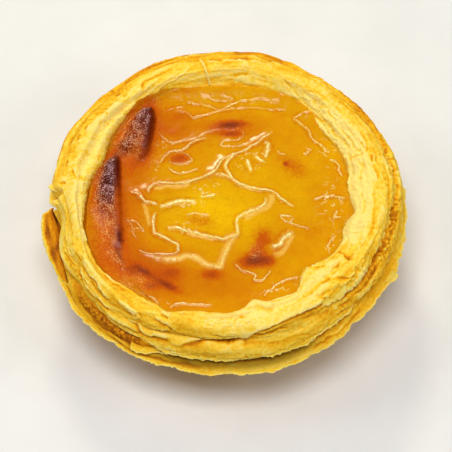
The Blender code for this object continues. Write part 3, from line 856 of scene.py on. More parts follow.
def sheet_mesh(inner, outer, thickness, seed, tones, ragged, taper, belly=0.0, lines=0.0):
    """A thin sheet between two edges given as (azimuth, radius, height) along them.

    Its outer edge is torn about ragged mm deep, and it narrows over the taper's share of its length at both
    ends. Its tones are those of the inner edge, the middle and the torn edge, lines is how dark the lines
    along it are, and its layer is the distance from the inner edge in mm.
    """
    edges = []
    for edge in (inner, outer):
        turn, radius, height = np.array(edge, float).T
        edges.append(polar_points(np.radians(turn), radius, height))
    length = np.linalg.norm(np.diff(edges[1], axis=0), axis=-1).sum()
    steps = max(20, int(length / 0.2))
    share = np.linspace(0, 1, steps)
    start, end = (catmull_rom(edge, share * (len(edge) - 1)) for edge in edges)
    place = share * length
    ends = np.minimum(1, np.minimum(share, 1 - share) / taper) ** 0.6
    full = np.linalg.norm(end - start, axis=-1)
    tears = (
        0.7 * noise(place / 4.5, 0, 0, seed) + 0.55 * noise(place / 1.3, 0, 0, seed + 1)
        + 0.70 * noise(place / 0.55, 0, 0, seed + 2) * (0.5 + noise(place / 2.1, 0, 0, seed + 5))
    )
    across = (end - start) * (ends * (1 + ragged * tears / full))[:, None]
    along = np.gradient(start + 0.5 * across, axis=0)
    normal = np.cross(across, along)
    normal = normal / (np.linalg.norm(normal, axis=-1, keepdims=True) + 1e-9)
    normal = normal * np.where(normal[:, 2:] < 0, -1, 1)
    width = np.linalg.norm(across, axis=-1)
    rows_top = []
    rows_low = []
    for v in np.linspace(0, 1, LEAF_ACROSS):
        lift = belly * math.sin(math.pi * v) + 0.22 * v * noise(place / 3.0, 0, 0.3 * v, seed + 3)
        lift = lift + 0.07 * noise(place / 0.9, 0, v * width / 0.6, seed + 4)
        half = thickness * 0.5 * (1 - 0.6 * v ** 3)
        middle = start + across * v
        rows_top.append(middle + normal * (lift + half)[:, None])
        rows_low.append(middle + normal * (lift - half)[:, None])
    loop = np.array(rows_top + rows_low[::-1])
    v = np.concatenate([np.linspace(0, 1, LEAF_ACROSS), np.linspace(1, 0, LEAF_ACROSS)])[:, None]
    depth = v * width[None, :]
    tone = np.interp(v, (0, 0.6, 0.80, 0.95, 1), (tones[0], tones[1], tones[1], tones[2], tones[2]))
    tone = tone + 0.10 * noise(place / 3.0, 0, depth / 0.6, seed + 6) + 0 * depth
    dark = np.abs(noise(place / 12.0, 0, depth / 1.1 + 0.4 * noise(place / 4.0, 0, 0, seed + 8), seed + 9))
    patchy = 0.8 + 0.8 * noise(place / 2.6, 0, depth, seed + 10)
    tone = tone - lines * (1 - smooth(0.0, 0.34, dark)) * patchy
    return loop, tone, depth


def rim_leaf(start, end, station, sink, reach, pitch):
    """Inner and outer edges of a leaf that grows out of the rim between two azimuths.

    It starts sink mm inside the surface, reaches as far outside it, and rises pitch degrees above level.
    """
    turn = np.linspace(start, end, max(4, int((end - start) / 4)))
    theta = np.radians(turn)
    root = catmull_rom(rim_stations(theta), np.array([station]))[0]
    rise = math.radians(pitch)
    edges = []
    for out in (-sink, reach):
        height = root[:, 1] + out * math.sin(rise)
        edges.append(np.stack([turn, root[:, 0] + out * math.cos(rise), height], -1))
    return edges


def strip_quads(around, along, first):
    """Quads of a tube of points with end caps: its first axis goes round the tube, its second along it."""
    ring = np.arange(around)[:, None]
    following = (ring + 1) % around
    step = np.arange(along - 1)[None, :]
    near_side, far_side = ring * along + step, following * along + step
    quads = np.stack([near_side, far_side, far_side + 1, near_side + 1], -1).reshape(-1, 4)
    half = around // 2
    caps = []
    for end in (0, along - 1):
        for k in range(half - 1):
            cap = [k, k + 1, around - 2 - k, around - 1 - k]
            cap = [c * along + end for c in cap]
            caps.append(cap if end else cap[::-1])
    return np.concatenate([quads, np.array(caps)]) + first


class LeafPile:
    """Collects leaves into one mesh."""

    def __init__(self):
        self.points = []
        self.quads = []
        self.tones = []
        self.layers = []
        self.count = 0

    def add(self, edges, *args, **options):
        loop, tone, layer = sheet_mesh(*edges, *args, **options)
        around, along = loop.shape[:2]
        self.points.append(loop.reshape(-1, 3))
        self.tones.append(np.broadcast_to(tone, (around, along)).ravel())
        self.layers.append(layer.ravel())
        self.quads.append(strip_quads(around, along, self.count))
        self.count += around * along

    def build(self, name, material):
        tones = np.concatenate(self.tones)
        plain = {"fibrous": np.full(tones.shape, 0.7), "painted_shade": np.zeros(tones.shape)}
        fields = {"tone": tones, "layer": np.concatenate(self.layers), **plain}
        return add_mesh(name, np.concatenate(self.points), np.concatenate(self.quads), material, fields)


# The sheet that stands off the rim on the left: azimuth, then radius and height of its inner and outer edges
LEFT_FLAKE = (
    (180.5, 37.9, 19.6, 38.3, 20.6), (184, 36.6, 18.6, 39.7, 20.0), (188, 35.8, 18.2, 40.2, 19.2),
    (192, 35.7, 17.9, 40.1, 18.6), (196, 35.9, 17.7, 39.8, 18.0), (200, 36.3, 17.4, 39.4, 17.7),
    (204, 36.9, 17.2, 39.1, 17.4), (208, 37.5, 17.0, 38.9, 17.2),
)


CREAM = (0.40, 0.66, 0.98)
GOLDEN = (0.34, 0.50, 0.80)
PALE = (0.55, 0.85, 1.0)
FLAKE_TONES = (0.16, 0.35, 0.96)
# Torn leaves on the rim: first and last azimuth, station, sink, reach, pitch, thickness, seed, tones, how
# torn the edge is and the share of the ends that narrows
LEAVES = (
    # torn lower leaf, all along the near side
    (200, 236, 3.1, 1.2, 0.8, 14, 0.36, 211, CREAM, 0.8, 0.12),
    (230, 272, 3.0, 1.2, 0.6, 8, 0.36, 221, CREAM, 0.8, 0.12),
    (268, 318, 3.1, 1.2, 0.6, 10, 0.36, 231, CREAM, 0.7, 0.12),
    (314, 344, 3.1, 1.2, 0.9, 16, 0.36, 241, CREAM, 0.9, 0.12),
    (340, 372, 3.1, 1.2, 0.7, 16, 0.36, 251, CREAM, 0.8, 0.12),
    (333.5, 339.0, 3.2, 1.2, 1.9, 12, 0.40, 261, PALE, 0.7, 0.30),
    (348.5, 351.8, 3.2, 1.2, 1.5, 18, 0.40, 271, PALE, 0.5, 0.40),
    (52.2, 55.0, 3.4, 1.2, 1.2, 30, 0.40, 275, PALE, 0.4, 0.45),
    # sheet inside the gap
    (238, 252, 4.6, 0.8, 1.5, 6, 0.30, 281, CREAM, 0.5, 0.12),
    # torn lower edge of the second roll
    (243, 282, 6.4, 1.2, 0.6, -28, 0.42, 291, CREAM, 0.7, 0.12),
    (278, 320, 6.5, 1.2, 0.7, -26, 0.42, 301, CREAM, 0.8, 0.12),
    # frilly flap on the near side's right
    (305, 320, 10.3, 1.4, 0.9, -34, 0.55, 311, PALE, 1.1, 0.25),
    (316, 334, 9.9, 1.4, 0.7, -38, 0.55, 321, PALE, 1.2, 0.25),
    # torn tips in the notch
    (173.4, 177.4, 7.6, 1.2, 0.9, 4, 0.45, 331, PALE, 0.6, 0.40),
    (179.2, 182.4, 7.6, 1.2, 0.8, 4, 0.45, 335, PALE, 0.6, 0.40),
    # torn edges on the far side
    (60, 92, 6.8, 1.2, 0.3, 30, 0.45, 341, GOLDEN, 0.6, 0.12),
    (88, 124, 7.2, 1.2, 0.3, 34, 0.45, 351, GOLDEN, 0.6, 0.12),
    (136, 168, 6.6, 1.2, 0.3, 20, 0.45, 361, GOLDEN, 0.5, 0.12),
    (14, 50, 6.6, 1.2, 0.3, 14, 0.45, 371, GOLDEN, 0.5, 0.12),
)


def build_leaves(material):
    pile = LeafPile()
    flake = [[(row[0], *row[1:3]) for row in LEFT_FLAKE], [(row[0], *row[3:5]) for row in LEFT_FLAKE]]
    pile.add(flake, 0.55, 201, FLAKE_TONES, belly=0.5, ragged=0.35, taper=0.10, lines=0.24)
    for *growth, thickness, seed, tones, ragged, taper in LEAVES:
        pile.add(rim_leaf(*growth), thickness, seed, tones, ragged=ragged, taper=taper)
    return pile.build("pastry_leaves", material)


# ---------------------------------------------------------------------------------------------------------
# Custard
# ---------------------------------------------------------------------------------------------------------

# Thin raised lines of the custard's skin, with a painted highlight along each crest: points (mm), height and
# half width
WRINKLES = (
    (((-15.6, 18.6), (-14.7, 16.5), (-12.7, 14.3), (-10.8, 14.0), (-7.5, 14.7), (-3.5, 16.7), (-0.6, 17.4),
      (2.9, 17.3), (3.8, 16.2), (2.7, 14.9), (0.0, 14.7), (-1.0, 13.9), (-0.4, 13.0), (3.9, 13.2),
      (6.3, 14.4), (10.1, 16.6)), 0.24, 0.30),
    (((-14.2, 8.8), (-13.2, 10.4), (-11.8, 11.6), (-9.4, 12.0), (-8.3, 13.0), (-6.6, 14.4), (-4.2, 15.1)),
      0.36, 0.40),
    (((-12.3, 9.0), (-10.0, 8.4), (-7.3, 9.0), (-8.0, 10.6), (-9.4, 11.2)), 0.22, 0.30),
    (((-12.3, 7.4), (-10.9, 6.2), (-8.6, 6.2), (-6.0, 7.0)), 0.20, 0.30),
    (((-16.5, 1.6), (-16.5, 2.4), (-14.4, 3.7), (-10.0, 3.5), (-7.4, 4.0), (-4.8, 5.2), (-2.4, 6.6),
      (-1.4, 8.0)), 0.42, 0.46),
    (((-1.8, 7.6), (-0.4, 9.7), (2.1, 11.0), (5.7, 12.9), (10.1, 16.6)), 0.34, 0.40),
    (((1.8, 11.0), (0.1, 8.9), (0.0, 7.4), (1.2, 4.9), (3.5, 3.2), (6.9, 2.2), (10.1, 1.4), (11.7, -0.2),
      (14.2, -2.0)), 0.42, 0.48),
    (((-2.4, 5.7), (-0.6, 5.7), (1.2, 4.6)), 0.25, 0.45),
    (((8.6, 14.1), (9.2, 13.3), (8.4, 10.3)), 0.35, 0.75),
    (((4.5, 9.5), (5.2, 6.8)), 0.28, 0.70),
    (((6.3, 10.3), (7.9, 8.9)), 0.28, 0.70),
    (((-13.7, 21.9), (-11.4, 22.8), (-9.3, 23.2)), 0.22, 0.32),
    (((-11.4, 22.1), (-9.3, 22.1), (-8.4, 21.4), (-7.5, 20.6), (-6.7, 20.4), (-4.6, 21.1), (-2.0, 21.9),
      (0.0, 22.5), (3.1, 22.9), (6.0, 23.0), (10.4, 22.7), (13.1, 22.7)), 0.25, 0.32),
    (((-8.5, 24.4), (-5.8, 24.0), (-3.2, 23.3), (-1.8, 22.5)), 0.30, 0.34),
    (((-4.1, 26.1), (-2.8, 25.2), (-0.1, 24.8), (1.6, 25.4), (-0.2, 26.2)), 0.22, 0.32),
    (((0.0, 23.1), (2.7, 24.4), (4.9, 25.0), (7.5, 25.5), (9.3, 25.1)), 0.24, 0.34),
    (((19.0, 21.8), (16.5, 21.2), (14.9, 20.1), (17.2, 18.2), (19.1, 14.8), (20.9, 13.3), (21.6, 11.8)),
      0.30, 0.36),
    (((23.5, 9.5), (24.4, 8.4), (24.5, 7.0), (25.0, 5.7)), 0.24, 0.32),
    (((11.3, 11.8), (11.5, 11.2), (12.7, 11.0)), 0.20, 0.28),
    (((17.7, 12.6), (18.5, 12.2), (17.1, 11.0)), 0.18, 0.28),
    (((19.3, -0.3), (20.8, 0.4), (23.5, 0.6), (25.5, 0.1)), 0.34, 0.36),
    (((-20.1, 1.5), (-18.8, 0.7), (-17.4, -0.9), (-16.1, -1.1), (-15.0, -1.7)), 0.34, 0.52),
    (((-15.2, -3.6), (-15.6, -4.8), (-15.4, -7.0), (-15.2, -8.6), (-13.4, -9.5), (-12.3, -10.2),
      (-10.4, -11.4), (-10.3, -12.7)), 0.40, 0.48),
    (((-13.8, -2.3), (-11.6, -1.3), (-9.7, -0.9), (-8.0, -0.9), (-6.8, -1.3)), 0.32, 0.72),
    (((-5.1, 0.1), (-3.4, 0.3), (-2.4, 0.7)), 0.24, 0.40),
    (((-8.3, -4.0), (-6.6, -3.8), (-3.6, -4.4)), 0.18, 0.30),
    (((-12.0, -7.5), (-10.5, -7.3), (-8.5, -8.1), (-4.2, -9.3), (-1.4, -10.0), (-0.6, -10.2), (1.2, -9.5),
      (2.5, -8.7), (2.4, -5.9), (3.0, -4.5), (5.6, -3.3), (7.2, -2.6), (8.3, -1.6), (8.7, -0.2)),
      0.48, 0.56),
    (((14.1, -4.4), (12.0, -4.4), (11.7, -5.0), (13.0, -5.9), (15.3, -6.9), (17.6, -7.4)), 0.22, 0.28),
    (((14.2, -5.0), (13.8, -5.7), (13.0, -5.9)), 0.18, 0.28),
    (((23.7, -3.0), (23.0, -4.7), (24.4, -4.5)), 0.24, 0.36),
    (((13.9, -8.4), (12.1, -9.9), (11.5, -11.1), (9.8, -11.9)), 0.50, 0.90),
    (((2.7, -8.8), (0.8, -11.1), (-0.4, -13.7), (-1.2, -16.2), (-3.0, -16.3), (-4.7, -15.6), (-6.4, -14.3),
      (-8.1, -13.9), (-9.8, -14.4), (-13.0, -14.6), (-17.9, -13.3)), 0.13, 0.60),
    (((1.7, -15.7), (2.7, -16.9), (4.3, -17.7), (6.0, -18.2), (5.9, -19.4), (6.7, -19.8), (8.1, -19.4),
      (9.5, -17.3)), 0.26, 0.32),
    (((8.1, -23.1), (10.2, -21.2), (12.5, -19.8), (15.1, -19.0)), 0.26, 0.34),
    (((21.5, -11.7), (22.3, -10.3), (23.4, -9.1)), 0.2, 0.32),
    (((-18.2, -12.9), (-16.2, -13.5), (-12.6, -13.8), (-10.9, -13.6), (-9.8, -12.9), (-10.3, -11.8)),
      0.28, 0.28),
    (((-22.2, -3.4), (-21.8, -5.0), (-20.4, -6.2), (-20.0, -7.9), (-19.1, -9.7)), 0.20, 0.32),
    (((-21.1, -5.6), (-19.5, -5.6), (-18.3, -6.8), (-17.6, -7.9)), 0.18, 0.30),
    (((-25.6, -12.2), (-23.6, -14.3), (-22.7, -15.6), (-21.6, -16.9)), 0.22, 0.32),
    (((-17.6, -23.3), (-15.6, -23.7), (-14.1, -25.0)), 0.22, 0.30),
    (((-11.6, -26.1), (-10.6, -25.4), (-9.1, -25.2), (-6.3, -25.4), (-3.0, -25.4)), 0.22, 0.34),
)
# Pale bands of painted sheen beside a line: points (mm) and half width
PAINTED_SHEEN_BANDS = (
    (((-15.9, 2.2), (-13.0, 2.9), (-10.0, 2.7), (-7.5, 3.3)), 0.45),
    (((1.4, 10.6), (-0.1, 8.7), (0.2, 7.0), (1.5, 4.6), (4.4, 2.7), (8.0, 1.6)), 0.35),
    (((-17.9, -1.1), (-17.2, -2.7), (-16.7, -4.6), (-16.3, -7.0)), 0.45),
    (((9.6, 1.2), (9.8, -0.6), (8.6, -2.4), (5.8, -3.9), (3.6, -5.2)), 0.60),
    (((9.8, -13.9), (11.7, -13.1), (13.1, -11.1), (14.4, -8.5)), 0.55),
    (((2.4, -9.3), (0.7, -11.1), (-0.5, -13.7), (-1.3, -16.3), (-3.0, -16.5), (-4.7, -15.7), (-6.4, -14.4),
      (-8.1, -14.0), (-9.8, -14.6), (-13.0, -14.9), (-17.9, -13.5)), 0.80),
    (((-8.5, -8.5), (-5.0, -9.6), (-2.5, -10.4)), 0.40),
)
# Burnt ridges: crest from the near end to the far end (mm), height, widths along it on the wall's side, and
# width on the steep side
BURNT_RIDGES = (
    (((-18.6, 9.6), (-17.8, 11.4), (-17.2, 14.3), (-16.6, 18.4), (-16.6, 21.2), (-17.0, 23.0)), 2.0,
      (6.0, 6.2, 4.2, 1.4), 0.75),
    (((-22.5, -12.4), (-22.8, -9.9), (-23.1, -4.0), (-23.4, -0.1), (-23.6, 3.2), (-23.8, 6.2), (-23.9, 9.0),
      (-24.4, 10.9)), 1.7, (1.3, 4.8, 3.6, 1.0), 0.80),
)
# How dark the ridges are along them, from the near end, on the wall's side and on the steep side, and how the
# darkness fades from the crest towards the wall
RIDGE_BURN = ((0.30, 0.42, 0.60, 0.82, 0.88, 0.78), (0.22, 0.36, 0.80, 1.0, 1.0, 0.88))
STEEP_BURN = ((0.45, 0.62, 0.78, 0.84, 0.78, 0.55), (0.25, 0.42, 0.46, 0.80, 0.88, 0.60))
SCORCH_SPREAD = (0.0, 0.4, 0.8, 1.0, 1.2, 1.6)
SCORCH_DARKNESS = (1.0, 0.96, 0.82, 0.58, 0.34, 0.0)
# Stains: centre, half length, half breadth (mm), turn (degrees), strength; their sizes are scaled as one
STAIN_SCALE = 1.25
STAINS = (
    (-15.5, -18.0, 6.0, 2.4, -22, 0.28), (-22.2, 12.4, 2.6, 1.2, 55, 0.50), (0.8, 18.6, 2.6, 0.75, 4, 0.60),
    (1.2, 16.3, 1.8, 0.55, 0, 0.42), (0.4, 17.9, 4.5, 2.0, 4, 0.22), (-10.0, 9.9, 1.8, 1.0, 0, 0.40),
    (13.1, 8.6, 0.4, 0.4, 0, 0.42), (14.6, 8.0, 2.8, 1.5, -40, 0.20), (-5.6, -5.5, 2.6, 1.1, -15, 0.16),
    (5.6, -15.1, 2.4, 1.3, 10, 0.58), (8.6, -15.1, 1.5, 1.2, 0, 0.40), (8.2, -9.6, 1.6, 1.8, 0, 0.24),
    (6.8, -12.4, 1.1, 2.2, -20, 0.30), (-22.6, -9.4, 0.6, 1.6, 5, 0.62), (-22.4, -14.0, 0.4, 2.2, 20, 0.36),
    (-17.6, -17.2, 2.2, 0.7, -35, 0.45), (-11.4, -17.9, 1.9, 1.1, 0, 0.30),
    (-12.2, -20.9, 2.2, 0.7, -30, 0.50), (-15.8, -21.0, 1.5, 0.8, 0, 0.38),
    (-20.0, -17.5, 1.5, 1.0, -30, 0.28), (-3.0, -18.4, 2.0, 1.1, 0, 0.42),
    (-11.9, 17.1, 2.6, 1.2, -20, 0.16), (-10.2, 20.8, 1.8, 0.9, 0, 0.20), (-9.0, 27.3, 3.0, 1.0, 0, 0.14),
    (19.0, -7.5, 1.8, 1.2, 0, 0.10),
)
# Stipple, painted as pale glints on rougher, bumpier skin, and flecks, painted as bright glints on small
# bumps:
# centre, half length, half breadth (mm), turn (degrees), strength
STIPPLES = (
    (-21.0, -20.6, 2.0, 1.6, -40, 0.9), (-25.6, -7.5, 1.5, 3.6, 8, 0.9), (-21.0, 13.2, 2.6, 2.0, 40, 0.9),
    (-22.6, -14.8, 0.6, 2.6, 25, 0.8), (-18.0, -20.0, 2.5, 1.6, -30, 0.5), (6.2, -13.2, 1.0, 1.6, -20, 0.8),
    (-24.0, -13.5, 1.6, 2.6, 20, 0.6),
)
# Flecks are painted as bright glints on small bumps
FLECKS = (
    (22.5, 11.4, 2.0, 3.6, 15, 0.9), (22.6, -0.8, 2.4, 4.6, 0, 0.9), (5.1, 9.2, 2.6, 2.2, 20, 1.0),
    (10.8, -21.4, 3.6, 1.2, 25, 1.0), (22.6, -11.0, 1.4, 3.4, -25, 0.9), (-19.6, -6.4, 1.6, 2.6, 30, 0.7),
    (-9.0, -1.5, 3.6, 1.0, 10, 0.9), (-13.2, -25.2, 5.0, 0.8, -22, 0.8), (-17.5, 10.5, 1.0, 3.4, 20, 0.6),
    (14.5, -25.0, 3.0, 0.7, 22, 0.7), (-8.5, -7.2, 2.2, 1.6, 0, 0.7), (-21.5, -17.6, 2.2, 1.0, -50, 0.8),
    (-14.2, 14.0, 1.3, 3.4, 0, 0.7), (-15.6, 7.0, 1.2, 2.2, 0, 0.7), (2.0, 25.0, 9.0, 1.4, 0, 0.3),
    (-4.0, 2.5, 3.0, 1.5, 20, 0.8),
)
# Tone: centre, half length and half breadth (mm), change
TONE_AREAS = (
    (-3.0, -3.0, 9.0, 6.0, 0.40), (8.0, 4.0, 8.0, 6.0, 0.12), (-12.0, 18.5, 7.0, 5.0, -0.42),
    (-20.0, 2.0, 4.0, 14.0, -0.36), (-17.0, -17.0, 8.0, 6.0, -0.48), (-3.0, -21.0, 12.0, 5.0, -0.26),
    (4.0, 18.0, 9.0, 4.0, -0.18), (0.0, 26.0, 16.0, 3.0, 0.06), (12.0, 20.0, 7.0, 5.0, 0.08),
)


def blob(x, y, centre_x, centre_y, half_length, half_breadth, turn=0.0):
    turn = math.radians(turn)
    along = (x - centre_x) * math.cos(turn) + (y - centre_y) * math.sin(turn)
    across = (y - centre_y) * math.cos(turn) - (x - centre_x) * math.sin(turn)
    return np.exp(-((along / half_length) ** 2 + (across / half_breadth) ** 2))


def custard_surface(x, y, share):
    """Height and looks of the custard's skin at places in mm; share runs from 0 in the middle to 1."""
    height = CUSTARD_LEVEL + 0.5 * (1 - share ** 2)
    height = height + 0.40 * fractal(x / 10.0, y / 10.0, 0.3, 2, 301) * (1 - 0.5 * share)
    calm = 1 - 0.7 * smooth(0.82, 0.95, share) * smooth(5, 15, y)
    height = height + 0.08 * calm * fractal(x / 3.2, y / 3.2, 1.3, 2, 307)
    height = height + 0.016 * calm * fractal(x / 0.9, y / 0.9, 2.3, 2, 311)
    warp_x = x + 0.25 * noise(x / 1.6, y / 1.6, 0.1, 313)
    warp_y = y + 0.25 * noise(x / 1.6, y / 1.6, 5.1, 317)
    beads = np.clip(0.72 + 0.9 * noise(x / 0.55, y / 0.55, 3.7, 319), 0, 1)
    # How strong the painted highlights along the lines are: weaker towards the far side, where the lines are
    # also lower
    paleness = 1 - 0.70 * smooth(11, 20, y)
    lines = np.zeros(x.shape)
    outlines = np.zeros(x.shape)
    for points, crest, half_width in WRINKLES:
        off, along = path_distance(warp_x, warp_y, points)
        ends = smooth(0, 0.08, along) * (1 - smooth(0.92, 1, along))
        width = 0.68 * half_width
        strength = (0.35 + 0.65 * ends) * beads
        ridge = np.exp(-(off / width) ** 2) * strength
        shoulder = np.exp(-(off / (4.5 * half_width)) ** 2)
        height = height + crest * (0.5 + 0.5 * paleness) * (0.85 * ridge + 0.4 * shoulder)
        # painted highlight: a thin pale core along the crest of each line
        core = np.exp(-((off - 0.1) / (0.55 * width)) ** 2) * strength * paleness
        boldness = min(1, crest / 0.30)
        lines = np.maximum(lines, core * boldness)
        # painted shade: thin dark bands either side of each line
        rim = np.exp(-((np.abs(off) - 2.0 * width) / (0.8 * width)) ** 2) * strength
        outlines = np.maximum(outlines, rim * boldness)
    painted_sheen = np.zeros(x.shape)
    for points, half_width in PAINTED_SHEEN_BANDS:
        off, along = path_distance(warp_x, warp_y, points)
        ends = smooth(0, 0.15, along) * (1 - smooth(0.85, 1, along))
        painted_sheen = np.maximum(painted_sheen, np.exp(-(off / half_width) ** 4) * ends)
    burn = np.zeros(x.shape)
    speckle = fractal(x / 0.42, y / 0.42, 4.3, 2, 331)
    ragged = 0.35 * noise(x / 1.3, y / 1.3, 6.3, 333)
    stipple = np.zeros(x.shape)
    for ridge, *darkness in zip(BURNT_RIDGES, RIDGE_BURN, STEEP_BURN):
        points, ridge_height, wall_widths, steep_width = ridge
        off, along = path_distance(warp_x, warp_y, points)
        wall_side = np.interp(along, (0, 0.33, 0.66, 1), wall_widths)
        width = np.where(off > 0, wall_side, steep_width)
        body = np.exp(-np.abs(off / width) ** 3)
        height = height + ridge_height * body * smooth(0, 0.35, along) * (1 - smooth(0.85, 1, along))
        ends = smooth(0, 0.08, along) * (1 - smooth(0.93, 1, along))
        shares = np.linspace(0, 1, len(darkness[0]))
        wall_dark, steep_dark = (np.interp(along, shares, row) * ends for row in darkness)
        rough_off = off + 1.2 * ragged
        halo_width = np.where(off > 0, 6.0 - 4.0 * smooth(0.90, 1.0, along), 2.4)
        burn = np.maximum(burn, 0.46 * np.exp(-np.abs(off) / halo_width))
        dark = steep_dark + (wall_dark - steep_dark) * smooth(0.0, 1.2, off)
        fade = np.interp(rough_off / wall_side, SCORCH_SPREAD, SCORCH_DARKNESS)
        burn = np.maximum(burn, dark * np.where(off > 0, fade, np.exp(-np.abs(off / 1.3) ** 2.4)))
        # Side of the ridge towards the wall, where glints are painted and the skin is rougher
        stippled_side = smooth(0.0, 0.7, rough_off) * (1 - smooth(0.95, 1.5, rough_off / wall_side)) * ends
        stipple = np.maximum(stipple, stippled_side * (0.20 + 0.75 * wall_dark))
    for x0, y0, half_length, half_breadth, turn, strength in STAINS:
        size = (STAIN_SCALE * half_length, STAIN_SCALE * half_breadth)
        spot = blob(warp_x + ragged, warp_y, x0, y0, *size, turn)
        burn = burn + strength * spot * (1 - burn)
    for x0, y0, half_length, half_breadth, turn, strength in STIPPLES:
        spot = blob(warp_x + ragged, warp_y, x0, y0, half_length, half_breadth, turn)
        stipple = np.maximum(stipple, strength * spot)
    flecked = np.zeros(x.shape)
    for x0, y0, half_length, half_breadth, turn, strength in FLECKS:
        flecked = np.maximum(flecked, strength * blob(x, y, x0, y0, half_length, half_breadth, turn))
    curls = smooth(0.88, 0.97, 1 - np.abs(noise(x / 1.1, y / 0.9, 9.1, 351) - 0.16))
    flecks = flecked * curls * smooth(-0.02, 0.25, noise(x / 1.4, y / 1.4, 4.1, 353))
    # painted highlight: the flecks are painted as bright glints
    lines = np.maximum(lines, 0.75 * flecks)
    height = height + 0.12 * flecks
    height = height + 0.04 * speckle * stipple
    tone = 0.60 + 0.12 * fractal(x / 8.0, y / 8.0, 0.7, 3, 341)
    tone = tone + 0.05 * fractal(x / 1.8, y / 1.8, 7.7, 2, 347)
    for x0, y0, half_length, half_breadth, change in TONE_AREAS:
        tone = tone + change * blob(x, y, x0, y0, half_length, half_breadth)
    # painted shade beside the lines
    tone = tone - 0.30 * outlines * (1 - lines)
    return height, {"burn": burn, "painted_highlight": lines, "painted_sheen": painted_sheen, "stipple": stipple, "tone": tone}


def build_custard(material):
    theta = np.linspace(0, 2 * math.pi, CUSTARD_SEGMENTS, endpoint=False)
    edge = cavity_edge(theta) + 0.25
    stations = rim_stations(theta)
    slope = catmull_rom(stations, np.linspace(17, 11, 61))
    reach = np.empty_like(theta)
    for column, highest in enumerate(custard_edge_station(theta)):
        reach[column] = np.interp((17 - highest) * 10, np.arange(61), slope[:, column, 0])
    reach = reach + 0.3
    share = np.linspace(0, 1, CUSTARD_ROWS)[:, None] ** 0.9
    share[0] = 0.004
    radius = reach[None, :] * share
    x = radius * np.cos(theta)
    y = radius * np.sin(theta)
    height, looks = custard_surface(x, y, share)
    height = height + 1.2 * smooth(0.80, 1.0, share) ** 1.5 * arc(theta, 42, 138, 16)
    for column in range(CUSTARD_SEGMENTS):
        bank = np.interp(radius[:, column], slope[:, column, 0], slope[:, column, 1]) + 0.16
        bank = np.where(radius[:, column] < slope[0, column, 0], -10, bank)
        gap = np.clip(0.5 + 0.5 * (bank - height[:, column]) / EDGE_SOFTNESS, 0, 1)
        height[:, column] = height[:, column] * (1 - gap) + bank * gap + EDGE_SOFTNESS * gap * (1 - gap)
    height[-1] -= 0.8
    height[-2] -= 0.25
    top = np.stack([x, y, height], -1)
    wall_rows = []
    for part in (0.12, 0.6, 1.0):
        wall = edge - 0.5 + (CAVITY_FLOOR_RADIUS - 0.5 - edge) * part
        wall_rows.append(polar_points(theta, wall, np.full_like(theta, CUSTARD_LEVEL - CUSTARD_DEPTH * part)))
    foot = np.full_like(theta, CUSTARD_LEVEL - CUSTARD_DEPTH)
    wall_rows.append(polar_points(theta, np.full_like(theta, 0.1), foot))
    grid = np.concatenate([top, np.array(wall_rows)])
    extra = len(wall_rows)

    def padded(values):
        return np.concatenate([values, np.repeat(values[-1:], extra, axis=0)])

    fields = {key: padded(values) for key, values in looks.items()}
    half = CUSTARD_SEGMENTS // 2
    pieces = []
    for name, first in (("custard_skin_far", 0), ("custard_skin_near", half)):
        columns = np.arange(first, first + half + 1) % CUSTARD_SEGMENTS
        part = {key: values[:, columns] for key, values in fields.items()}
        quads = open_ring_quads(len(grid), half + 1, closed=False)[:, ::-1]
        pieces.append(add_mesh(name, grid[:, columns].reshape(-1, 3), quads, material, part))
    return pieces


# ---------------------------------------------------------------------------------------------------------
# Materials
# ---------------------------------------------------------------------------------------------------------


